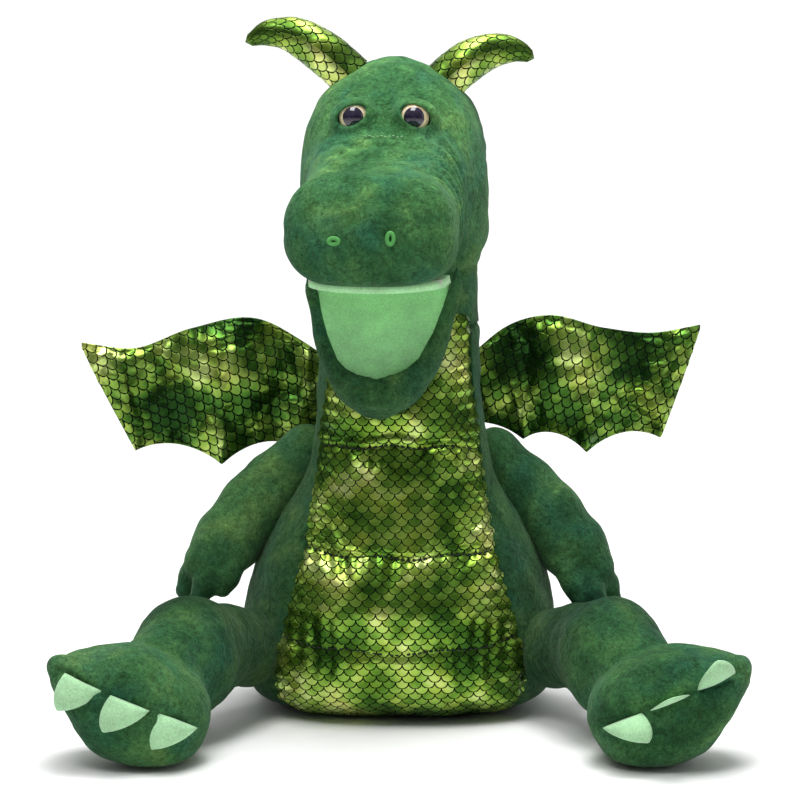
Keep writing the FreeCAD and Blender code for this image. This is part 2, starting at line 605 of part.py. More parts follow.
def make_jaw():
    def jaw_form(inset):
        wires = []
        for ahead, half_width, depth in JAW_RINGS:
            reach = ahead
            if ahead == JAW_RINGS[0][0]:
                reach += inset
            elif ahead == JAW_RINGS[-1][0]:
                reach -= inset
            low = inset - depth if depth > JAW_RINGS[0][2] + inset else JAW_LEAST_DEPTH - depth
            wires.append(upright_ring(-reach, half_width - inset, low, JAW_TOP))
        return loft(wires)

    board_top = -LINING - GAP
    board_foot = board_top - BOARD
    below_lining = box(-FAR, FAR, -FAR, FAR, -FAR, 0)

    def jaw_plate(start, z0, z1, grow=0.0):
        return plate(JAW_PLATE_HALF_WIDTH, start, JAW_PLATE_SHOULDER, JAW_PLATE_POLE, z0, z1, grow)

    lining = jaw_plate(JAW_PLATE_BACK, -LINING, 0)
    board = jaw_plate(JAW_PLATE_BACK + FOLD_GAP, board_foot, board_top)
    board_room = jaw_plate(0, board_foot - GAP, 2 * JAW_TOP, GAP)
    # the thumb goes in through the back of the jaw, under the board
    thumb_top = board_foot - GAP - LINING
    thumb_foot = thumb_top - THUMB_HEIGHT

    def thumb_box(grow):
        side = THUMB_HALF_WIDTH + grow
        return box(-side, side, -THUMB_FAR - grow, grow - THUMB_NEAR, thumb_foot - grow,
                   thumb_top + grow)

    thumb_room = thumb_box(0)
    thumb_way = box(-THUMB_HALF_WIDTH, THUMB_HALF_WIDTH, -THUMB_WAY_END, -THUMB_NEAR, -FAR,
                    thumb_top)
    thumb_outer = thumb_box(LINING)
    thumb_clear = thumb_box(LINING + GAP)
    cover = jaw_form(0).common(below_lining).cut(jaw_form(SKIN).common(below_lining))
    cover = cover.fuse(jaw_form(0).common(box(-FAR, FAR, -FAR, FAR, board_foot, 0)))
    cover = cover.cut(board_room).cut(thumb_way).cut(thumb_clear)
    save("jaw_cover", place_jaw(cover))
    core = jaw_form(SKIN + GAP).common(box(-FAR, FAR, -FAR, FAR, -FAR, board_foot - 2 * GAP))
    save("jaw_filling", place_jaw(core.cut(thumb_way).cut(thumb_clear)))
    pocket = thumb_outer.cut(thumb_room).cut(thumb_way)
    save("thumb_pocket", place_jaw(pocket.common(jaw_form(SKIN + GAP))))
    save("jaw_lining", place_jaw(lining))
    save("jaw_board", place_jaw(board))


# ---------------------------------------------------------------- wings
def wing_outline(wing, y):
    top = Part.BSplineCurve()
    top.interpolate([Vector(x, y, z) for x, z in wing["top"]])
    edges = [top.toShape()]
    corners = [wing["top"][-1]] + wing["points"] + [wing["foot"]]
    rises = [0.0, SCALLOP_RISE, SCALLOP_RISE, 0.0]
    for (x0, z0), (x1, z1), rise in zip(corners, corners[1:], rises):
        start = Vector(x0, y, z0)
        end = Vector(x1, y, z1)
        if rise:
            peak = (start + end) / 2 + Vector(0, 0, rise)
            edges.append(Part.Arc(start, peak, end).toShape())
        else:
            edges.append(Part.makeLine(start, end))
    foot = wing["foot"]
    root = wing["top"][0]
    edges.append(Part.makeLine(Vector(foot[0], y, foot[1]), Vector(root[0], y, root[1])))
    return Part.Face(Part.Wire(edges))


def make_wing(side, wing):
    half = WING_WADDING / 2
    layers = {"front": (-half - GAP - LINING, LINING), "wadding": (-half, WING_WADDING),
              "back": (half + GAP, LINING)}
    for name, (start, thick) in layers.items():
        face = wing_outline(wing, WING_Y + start)
        save("wing_%s_%s" % (side, name), face.extrude(Vector(0, thick, 0)))


limb_rooms = [make_leg("left"), make_leg("right"), make_arm("left", ARM_LEFT),
              make_arm("right", ARM_RIGHT), make_tail()]
make_torso(limb_rooms)
make_neck()
make_head()
make_jaw()
make_wing("left", WING_LEFT)
make_wing("right", WING_RIGHT)
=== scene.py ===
import json
import math

import bpy
import numpy as np
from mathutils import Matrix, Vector


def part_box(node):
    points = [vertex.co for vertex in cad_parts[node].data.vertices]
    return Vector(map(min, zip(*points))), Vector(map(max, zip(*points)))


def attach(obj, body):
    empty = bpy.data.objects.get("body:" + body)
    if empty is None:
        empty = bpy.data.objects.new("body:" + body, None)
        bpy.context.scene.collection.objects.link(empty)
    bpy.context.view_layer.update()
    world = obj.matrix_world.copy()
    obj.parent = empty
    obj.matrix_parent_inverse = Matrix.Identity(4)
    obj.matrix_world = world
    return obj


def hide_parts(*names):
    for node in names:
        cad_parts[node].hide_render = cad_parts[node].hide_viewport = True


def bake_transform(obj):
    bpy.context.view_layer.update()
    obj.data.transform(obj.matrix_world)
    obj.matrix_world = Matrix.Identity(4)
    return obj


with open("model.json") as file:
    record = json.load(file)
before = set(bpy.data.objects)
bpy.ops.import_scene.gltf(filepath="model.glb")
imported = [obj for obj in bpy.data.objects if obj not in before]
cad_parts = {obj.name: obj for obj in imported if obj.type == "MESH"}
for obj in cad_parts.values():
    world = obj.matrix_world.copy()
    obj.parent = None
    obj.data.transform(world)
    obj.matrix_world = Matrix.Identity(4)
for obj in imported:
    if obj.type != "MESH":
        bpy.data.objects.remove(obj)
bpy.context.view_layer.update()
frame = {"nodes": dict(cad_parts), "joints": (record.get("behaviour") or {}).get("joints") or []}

MM = 0.001
JOINTS = {joint["name"]: joint for joint in frame["joints"]}


def box_mm(*nodes):
    """Lowest and highest corners, in millimetres, of the box round some CAD nodes."""
    corners = [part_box(node) for node in nodes]
    low = np.min([corner[0] for corner in corners], axis=0)
    high = np.max([corner[1] for corner in corners], axis=0)
    return np.array(low) / MM, np.array(high) / MM


def joint_mm(name):
    return np.array(JOINTS[name]["pos_m"]) / MM


# ---------------------------------------------------------------- places from the frame, in mm
TORSO_LOW, TORSO_HIGH = box_mm("torso_side_left", "torso_side_right", "belly_panel", "base_panel")
TORSO_HEIGHT = TORSO_HIGH[2]
NECK_LOW, NECK_HIGH = box_mm("neck_plush", "throat_panel")
NECK_SEAM = (NECK_LOW[2] + NECK_HIGH[2]) / 2
HEAD_PIVOT = joint_mm("head_nod")
YAW = math.atan2(JOINTS["head_nod"]["axis"][1], JOINTS["head_nod"]["axis"][0])
JAW_HINGE = joint_mm("jaw_open")
JAW_OPEN = math.radians(60.0)
ENTRY_LOW, ENTRY_HIGH = box_mm("entry_binding")
MOUTH_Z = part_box("upper_mouth_lining")[0][2] / MM
EYE_Z = (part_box("pupil_left")[0][2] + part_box("pupil_left")[1][2]) / 2 / MM
EYE_SLANT = math.radians(26.0)

# ---------------------------------------------------------------- sizes of the form, in mm
EYE_OUT = 23.0                  # middle of an eye's opening, to the side
EYE_LIFT = 1.2                  # and above the middle of the pupil
LID_GAP = (11.0, 6.8)           # half width and half height of the gap between the lids
FACE_BACK = -52.0               # neither mouth nor eyes are cut behind this y of the head's frame
MOUTH_CUT = 1.2                 # the plush ends this far above the upper lining
ARM_SPACE = (44.5, 38.5)        # half width and half depth of the space for the arm and palm
ARM_SPACE_LOW = 69.0
PALM_SPACE_HIGH = 376.0
ENTRY_SPACE = (52.5, 48.5)      # half width and half height of the way in at the back
UNDER_PANEL = 4.2               # the plush lies this much lower under the belly panel
JAW_BACK = -14.0                # the jaw's plush starts and ends here, ahead of the hinge
JAW_TIP = 99.0
MOUTH_REACH = 77.0              # how far ahead of the fold the open mouth reaches on the jaw
DISH_DEPTH = 3.8                # how far the jaw's plush is hollowed under its lining
UPPER_LINING = 76.0             # lengths of the mouth lining ahead of the fold
LOWER_LINING = 79.0
UPPER_LINING_HALF = 49.0        # its widest half width
BOARD_WRAP = 5.0                # how much thicker the fleece is where it wraps the upper board
HORN_GIRTH = 14.0               # radius by which the foil's print runs round a horn
FLOOR_GAP = 0.4                 # soft forms rest this far above the floor


# ---------------------------------------------------------------- small maths
def smoothstep(low, high, value):
    t = np.clip((value - low) / (high - low), 0.0, 1.0)
    return t * t * (3 - 2 * t)


def smooth_union(a, b, width):
    """Joins two distance fields with a rounded valley of that width."""
    h = np.clip(0.5 + 0.5 * (b - a) / width, 0.0, 1.0)
    return b + (a - b) * h - width * h * (1 - h)


def smooth_cut(a, b, width):
    """Takes field b out of field a with a rounded edge."""
    return -smooth_union(-a, b, width)


def along(table, t):
    """Rows of a table at positions t: its first column is the position, the rest are smooth."""
    table = np.array(table, float)
    places = table[:, 0]
    slopes = np.gradient(table[:, 1:], places, axis=0)
    t = np.clip(t, places[0], places[-1])
    i = np.clip(np.searchsorted(places, t) - 1, 0, len(places) - 2)
    gap = places[i + 1] - places[i]
    s = (t - places[i]) / gap
    s2 = s * s
    s3 = s2 * s
    columns = []
    for k in range(table.shape[1] - 1):
        y0 = table[i, k + 1]
        y1 = table[i + 1, k + 1]
        columns.append((2 * s3 - 3 * s2 + 1) * y0 + (s3 - 2 * s2 + s) * gap * slopes[i, k]
                       + (3 * s2 - 2 * s3) * y1 + (s3 - s2) * gap * slopes[i + 1, k])
    return columns


def lattice_hash(i, j, k, seed):
    n = (i * 73856093) ^ (j * 19349663) ^ (k * 83492791) ^ (seed * 2654435761)
    n = (n ^ (n >> 13)) * 1274126177
    return ((n ^ (n >> 16)) & 0xFFFF) / 65535.0 * 2 - 1


def noise(p, size, seed=1):
    """Smooth noise from -1 to 1 with features of that size."""
    q = p / size
    base = np.floor(q).astype(np.int64)
    f = q - base
    f = f * f * (3 - 2 * f)
    total = 0.0
    for dx in (0, 1):
        wx = f[:, 0] if dx else 1 - f[:, 0]
        for dy in (0, 1):
            wy = f[:, 1] if dy else 1 - f[:, 1]
            for dz in (0, 1):
                wz = f[:, 2] if dz else 1 - f[:, 2]
                total = total + wx * wy * wz * lattice_hash(
                    base[:, 0] + dx, base[:, 1] + dy, base[:, 2] + dz, seed)
    return total


def turn_about_z(p, centre, angle):
    c = math.cos(angle)
    s = math.sin(angle)
    q = p - centre
    return np.stack([q[:, 0] * c - q[:, 1] * s, q[:, 0] * s + q[:, 1] * c, q[:, 2]], 1)


def turn_about_x(p, angle):
    c = math.cos(angle)
    s = math.sin(angle)
    return np.stack([p[:, 0], p[:, 1] * c - p[:, 2] * s, p[:, 1] * s + p[:, 2] * c], 1)


def turn_about_y(p, angle):
    c = math.cos(angle)
    s = math.sin(angle)
    return np.stack([p[:, 0] * c - p[:, 2] * s, p[:, 1], p[:, 0] * s + p[:, 2] * c], 1)


def rest_on_floor(p, field, width, gap=FLOOR_GAP):
    """Flattens a form where it rests on the floor, with a rounded edge."""
    return -smooth_union(-field, p[:, 2] - gap, width)


def front_of(field, x, z, far, near):
    """y of a field's front surface at places x, z, found by halving between far and near."""
    far = np.full_like(x, far)
    near = np.full_like(x, near)
    for _ in range(24):
        middle = (far + near) / 2
        outside = field(np.stack([x, middle, z], 1)) > 0
        far = np.where(outside, middle, far)
        near = np.where(outside, near, middle)
    return (far + near) / 2


# ---------------------------------------------------------------- solid forms as distance fields
def ring_field(p, rings, power=2.4):
    """An upright form from rings of height, half width, front depth and back depth."""
    half, front, back = along(rings, p[:, 2])
    deep = np.where(p[:, 1] < 0, front, back)
    reach = (np.abs(p[:, 0] / half) ** power + np.abs(p[:, 1] / deep) ** power) ** (1 / power)
    side = (reach - 1) * np.minimum(half, deep)
    ends = np.maximum(rings[0][0] - p[:, 2], p[:, 2] - rings[-1][0])
    return np.maximum(side, ends)


def forward_field(p, rings, power=2.6):
    """A form along -Y from rings of distance ahead, half width, lowest and highest."""
    ahead = -p[:, 1]
    half, low, high = along(rings, ahead)
    middle = (low + high) / 2
    tall = (high - low) / 2
    reach = (np.abs(p[:, 0] / half) ** power + np.abs((p[:, 2] - middle) / tall) ** power)
    side = (reach ** (1 / power) - 1) * np.minimum(half, tall)
    ends = np.maximum(rings[0][0] - ahead, ahead - rings[-1][0])
    return np.maximum(side, ends)


def ball_field(p, centre, half, power=2.0):
    q = np.abs((p - np.array(centre)) / np.array(half))
    reach = (q ** power).sum(1) ** (1 / power)
    return (reach - 1) * min(half)


def tube_field(p, path, blend=6.0):
    """A stuffed tube along a path of x, y, z, radius."""
    total = None
    for start, end in zip(path, path[1:]):
        a = np.array(start[:3], float)
        b = np.array(end[:3], float)
        ab = b - a
        t = np.clip((p - a) @ ab / (ab @ ab), 0.0, 1.0)
        radius = start[3] + (end[3] - start[3]) * t
        d = np.linalg.norm(p - a - t[:, None] * ab, axis=1) - radius
        total = d if total is None else smooth_union(total, d, blend)
    return total


def oval_field(p, centre, half_a, half_b, axes):
    """An endless oval rod; axes are the two coordinates across it."""
    a = (p[:, axes[0]] - centre[0]) / half_a
    b = (p[:, axes[1]] - centre[1]) / half_b
    return (np.sqrt(a * a + b * b) - 1) * min(half_a, half_b)


# ---------------------------------------------------------------- from a field to a mesh
def iso_points(field, low, high, step):
    """Surface nets: the points and square faces of the field's zero surface."""
    axes = [np.arange(low[k] - step, high[k] + 2 * step, step) for k in range(3)]
    shape = tuple(len(axis) for axis in axes)
    grid = np.stack(np.meshgrid(*axes, indexing="ij"), -1).reshape(-1, 3)
    value = np.concatenate([field(part) for part in np.array_split(grid, 12)]).reshape(shape)
    inside = value < 0
    cells = tuple(n - 1 for n in shape)
    total = np.zeros(cells + (3,))
    count = np.zeros(cells)
    for axis in range(3):
        others = [k for k in range(3) if k != axis]
        for i in (0, 1):
            for j in (0, 1):
                offset = [0, 0, 0]
                offset[others[0]] = i
                offset[others[1]] = j
                here = tuple(slice(offset[k], offset[k] + cells[k]) for k in range(3))
                offset_end = list(offset)
                offset_end[axis] = 1
                there = tuple(slice(offset_end[k], offset_end[k] + cells[k]) for k in range(3))
                f0 = value[here]
                f1 = value[there]
                crosses = inside[here] != inside[there]
                t = np.where(crosses, f0 / np.where(crosses, f0 - f1, 1.0), 0.0)
                for k in range(3):
                    total[..., k] += np.where(crosses, t if k == axis else offset[k], 0.0)
                count += crosses
    active = count > 0
    index = -np.ones(cells, np.int64)
    index[active] = np.arange(active.sum())
    where = np.argwhere(active)
    points = (where + total[active] / count[active][:, None]) * step
    points += np.array([axis[0] for axis in axes])
    faces = []
    for axis in range(3):
        others = [k for k in range(3) if k != axis]
        here = [slice(1, -1)] * 3
        here[axis] = slice(0, shape[axis] - 1)
        there = list(here)
        there[axis] = slice(1, shape[axis])
        first = inside[tuple(here)]
        second = inside[tuple(there)]
        start = np.argwhere(first != second)
        flip = first[first != second]
        for k in others:
            start[:, k] += 1
        corners = []
        for i, j in ((0, 0), (1, 0), (1, 1), (0, 1)):
            cell = start.copy()
            cell[:, others[0]] -= 1 - i
            cell[:, others[1]] -= 1 - j
            corners.append(index[cell[:, 0], cell[:, 1], cell[:, 2]])
        quads = np.stack(corners, 1)
        if axis == 1:
            flip = ~flip
        quads[~flip] = quads[~flip][:, ::-1]
        faces.append(quads)
    return points, np.concatenate(faces)


def settle(points, field, rounds=3):
    """Moves points onto the field's zero surface and returns them with their normals."""
    h = 0.4
    for _ in range(rounds):
        value = field(points)
        slope = np.stack([(field(points + h * axis) - field(points - h * axis)) / (2 * h)
                          for axis in np.eye(3)], 1)
        size = np.maximum((slope ** 2).sum(1), 0.15)
        points = points - np.clip(value / size, -1.5, 1.5)[:, None] * slope
    length = np.maximum(np.linalg.norm(slope, axis=1), 1e-6)
    return points, slope / length[:, None]


def mesh_object(name, points, faces, material, uv=None):
    """A smooth-shaded object from points in millimetres, with its resting place stored."""
    mesh = bpy.data.meshes.new(name)
    mesh.from_pydata((np.asarray(points) * MM).tolist(), [], [list(map(int, f)) for f in faces])
    mesh.validate()
    mesh.update()
    rest = mesh.attributes.new("rest", "FLOAT_VECTOR", "POINT")
    rest.data.foreach_set("vector", (np.asarray(points) * MM).astype(np.float32).ravel())
    if uv is not None:
        layer = mesh.uv_layers.new(name="cloth")
        loops = np.empty(len(mesh.loops), np.int64)
        mesh.loops.foreach_get("vertex_index", loops)
        layer.data.foreach_set("uv", (np.asarray(uv)[loops] * MM).astype(np.float32).ravel())
    mesh.polygons.foreach_set("use_smooth", np.ones(len(mesh.polygons), bool))
    mesh.materials.append(material)
    obj = bpy.data.objects.new(name, mesh)
    bpy.context.scene.collection.objects.link(obj)
    return obj


def closed_grid(front, back, rows, columns):
    """Two layers of a grid, joined round their rim; the front layer faces its viewer."""
    count = rows * columns
    faces = []
    for i in range(rows - 1):
        for j in range(columns - 1):
            a = i * columns + j
            faces.append((a, a + 1, a + columns + 1, a + columns))
            faces.append((count + a, count + a + columns, count + a + columns + 1, count + a + 1))
    rim = list(range(columns))
    rim += [i * columns + columns - 1 for i in range(1, rows)]
    rim += [(rows - 1) * columns + j for j in range(columns - 2, -1, -1)]
    rim += [i * columns for i in range(rows - 2, 0, -1)]
    for a, b in zip(rim, rim[1:] + rim[:1]):
        faces.append((b, a, count + a, count + b))
    return np.concatenate([front, back]), faces


def thread_tube(path, radius, closed, sides):
    """Points and faces of one thread along a path that faces the front, -Y."""
    count = len(path)
    step = (np.roll(path, -1, axis=0) - np.roll(path, 1, axis=0)) if closed else np.gradient(
        path, axis=0)
    step /= np.linalg.norm(step, axis=1)[:, None]
    ahead = np.array([0.0, -1.0, 0.0])
    side = np.cross(step, ahead)
    side /= np.linalg.norm(side, axis=1)[:, None]
    lift = np.cross(side, step)
    turn = np.linspace(0, 2 * math.pi, sides, endpoint=False)
    wide = np.full(count, radius)
    if not closed:
        wide = wide * np.sqrt(np.clip(1 - np.linspace(-0.98, 0.98, count) ** 4, 0.05, 1))
    ring = (np.cos(turn)[None, :, None] * side[:, None, :]
            + np.sin(turn)[None, :, None] * lift[:, None, :])
    points = (path[:, None, :] + wide[:, None, None] * ring).reshape(-1, 3)
    faces = []
    for i in range(count if closed else count - 1):
        for j in range(sides):
            k = (j + 1) % sides
            n = (i + 1) % count
            faces.append((i * sides + j, i * sides + k, n * sides + k, n * sides + j))
    if not closed:
        first = tuple(range(sides))
        faces.append(first[::-1])
        faces.append(tuple((count - 1) * sides + j for j in first))
    return points, faces


def threads(paths, radius, closed=False, sides=6):
    """Points and faces of several threads of one radius, as one mesh."""
    points = np.zeros((0, 3))
    faces = []
    for path in paths:
        part, quads = thread_tube(path, radius, closed, sides)
        faces += [tuple(v + len(points) for v in quad) for quad in quads]
        points = np.concatenate([points, part])
    return points, faces


def billow(points, faces, pinned, pressure, most, slack):
    """Lets cloth swell and crease between its seams by simulation; returns its new points.

    pinned marks the points that are sewn down, most is how far a point may move in
    millimetres, and slack is the share by which the cloth is cut larger than its place.
    """
    scene = bpy.context.scene
    start = np.asarray(points) * MM
    mesh = bpy.data.meshes.new("cloth_work")
    mesh.from_pydata(start.tolist(), [], [list(map(int, face)) for face in faces])
    mesh.update()
    work = bpy.data.objects.new("cloth_work", mesh)
    scene.collection.objects.link(work)
    sewn = work.vertex_groups.new(name="sewn")
    sewn.add([int(i) for i in np.nonzero(pinned)[0]], 1.0, "REPLACE")
    cloth = work.modifiers.new("cloth", "CLOTH")
    settings = cloth.settings
    settings.quality = 5
    settings.mass = 0.2
    settings.tension_stiffness = 15.0
    settings.compression_stiffness = 15.0
    settings.shear_stiffness = 5.0
    settings.bending_stiffness = 0.2
    settings.vertex_group_mass = "sewn"
    settings.use_pressure = True
    settings.uniform_pressure_force = pressure
    settings.shrink_min = -slack
    settings.effector_weights.gravity = 0.0
    cloth.collision_settings.use_collision = False
    cloth.point_cache.frame_start = 1
    cloth.point_cache.frame_end = 20
    for step in range(1, 21):
        scene.frame_set(step)
    settled = work.evaluated_get(bpy.context.evaluated_depsgraph_get()).data
    end = np.empty(len(settled.vertices) * 3)
    settled.vertices.foreach_get("co", end)
    moved = end.reshape(-1, 3) / MM - np.asarray(points)
    length = np.linalg.norm(moved, axis=1)
    moved *= (most * np.tanh(length / most) / np.maximum(length, 1e-6))[:, None]
    bpy.data.objects.remove(work)
    bpy.data.meshes.remove(mesh)
    scene.frame_set(1)
    return points + moved


def plush_form(name, field, low, high, step, material, finish=None):
    """A plush piece: the field's surface, with finish(points, normals) for its small folds."""
    points, faces = iso_points(field, np.array(low, float), np.array(high, float), step)
    points, normals = settle(points, field)
    if finish is not None:
        points = finish(points, normals)
    return mesh_object(name, points, faces, material)


# ---------------------------------------------------------------- materials
class Nodes:
    """A short way to write a node material."""

    def __init__(self, name):
        self.material = bpy.data.materials.new(name)
        self.material.use_nodes = True
        self.tree = self.material.node_tree
        self.shader = self.tree.nodes["Principled BSDF"]

    def add(self, kind, **settings):
        node = self.tree.nodes.new("ShaderNode" + kind)
        for key, value in settings.items():
            setattr(node, key, value)
        return node

    def link(self, source, target):
        if isinstance(source, (int, float)):
            target.default_value = source
        else:
            self.tree.links.new(source, target)

    def math(self, operation, a, b=0.0, c=0.0):
        node = self.add("Math", operation=operation)
        for value, socket in zip((a, b, c), node.inputs):
            self.link(value, socket)
        return node.outputs[0]

    def rest(self):
        return self.add("Attribute", attribute_name="rest").outputs["Vector"]

    def noise(self, vector, scale, detail=2.0, rough=0.5, distortion=0.0):
        node = self.add("TexNoise")
        self.link(vector, node.inputs["Vector"])
        node.inputs["Scale"].default_value = scale
        node.inputs["Detail"].default_value = detail
        node.inputs["Roughness"].default_value = rough
        node.inputs["Distortion"].default_value = distortion
        return node.outputs["Fac"]

    def ramp(self, value, stops):
        node = self.add("ValToRGB")
        elements = node.color_ramp.elements
        while len(elements) < len(stops):
            elements.new(0.5)
        for element, (place, colour) in zip(elements, stops):
            element.position = place
            element.color = (*colour, 1.0)
        self.link(value, node.inputs[0])
        return node.outputs["Color"]

    def mix(self, factor, a, b, mode="MIX"):
        node = self.add("Mix", data_type="RGBA", blend_type=mode)
        self.link(factor, node.inputs["Factor"])
        for value, socket in ((a, node.inputs[6]), (b, node.inputs[7])):
            if isinstance(value, tuple):
                socket.default_value = (*value, 1.0)
            else:
                self.link(value, socket)
        return node.outputs[2]

    def bump(self, height, distance, strength=1.0, normal=None):
        node = self.add("Bump")
        self.link(height, node.inputs["Height"])
        node.inputs["Distance"].default_value = distance
        node.inputs["Strength"].default_value = strength
        if normal is not None:
            self.link(normal, node.inputs["Normal"])
        return node.outputs["Normal"]

    def finish(self, colour, normal=None, **constants):
        self.link(colour, self.shader.inputs["Base Color"])
        if normal is not None:
            self.link(normal, self.shader.inputs["Normal"])
        for key, value in constants.items():
            socket = key.replace("_", " ").title().replace("Ior", "IOR")
            self.shader.inputs[socket].default_value = value
        return self.material


def srgb(r, g, b, shade=1.0):
    """Linear colour of a display colour given from 0 to 255, made lighter or darker by shade."""
    return tuple(((v / 255 + 0.055) / 1.055) ** 2.4 if v > 10 else v / 255 / 12.92
                 for v in (r * shade, g * shade, b * shade))


def plush_material(name, shade=1.0, painted_shade_from=None, painted_shade_to=None, axis=2):
    """Short dyed pile: mottled dark, mid and yellow green with some teal.

    The colour is made darker or lighter, as painted shade and painted light, from one place and
    tone to another along the X, Y or Z axis, in metres.
    """
    n = Nodes(name)
    place = n.rest()
    blotch = n.noise(place, 17.0, 3.0, 0.55, 0.7)
    tint = n.noise(place, 24.0, 2.0, 0.6, 0.4)
    fleck = n.noise(place, 75.0, 2.0, 0.6, 0.3)
    base = n.ramp(n.math("MULTIPLY_ADD", fleck, 0.22, n.math("MULTIPLY", blotch, 0.78)),
                  [(0.34, srgb(36, 76, 44, shade)), (0.46, srgb(52, 98, 57, shade)),
                   (0.56, srgb(70, 116, 66, shade)), (0.68, srgb(98, 138, 76, shade))])
    teal = n.ramp(tint, [(0.46, (0.0, 0.0, 0.0)), (0.66, (1.0, 1.0, 1.0))])
    base = n.mix(n.math("MULTIPLY", teal, 0.55), base, srgb(44, 100, 78, shade))
    pile = n.noise(place, 560.0, 3.0, 0.75, 0.8)
    clump = n.noise(place, 210.0, 2.0, 0.5, 0.8)
    depth = n.math("MULTIPLY_ADD", clump, 0.35, n.math("MULTIPLY", pile, 0.65))
    # the pile's grain, from the same field as its bump: partly its own mottle, partly painted shade
    # in the hollows and painted sheen on the tufts
    pile_grain_and_shade = n.ramp(depth, [(0.36, (0.42, 0.42, 0.42)), (0.52, (0.94, 0.94, 0.94)),
                          (0.66, (1.45, 1.45, 1.38))])
    colour = n.mix(1.0, base, pile_grain_and_shade, "MULTIPLY")
    # painted shade and painted light: the colour is multiplied by a tone that changes along one
    # axis
    if painted_shade_from:
        split = n.add("SeparateXYZ")
        n.link(place, split.inputs[0])
        fade = n.add("MapRange", interpolation_type="SMOOTHSTEP")
        n.link(split.outputs[axis], fade.inputs["Value"])
        for key, value in zip(("From Min", "To Min", "From Max", "To Max"), painted_shade_from + painted_shade_to):
            fade.inputs[key].default_value = value
        tone = n.add("CombineColor")
        for socket in tone.inputs[:3]:
            n.link(fade.outputs["Result"], socket)
        colour = n.mix(1.0, colour, tone.outputs[0], "MULTIPLY")
    crush = n.noise(place, 95.0, 2.0, 0.5, 1.0)
    normal = n.bump(depth, 0.0018, 0.8, n.bump(crush, 0.004, 0.55))
    return n.finish(colour, normal, roughness=0.9, sheen_weight=0.16, sheen_roughness=0.35,
                    specular_ior_level=0.1, sheen_tint=(0.62, 0.95, 0.66, 1.0))


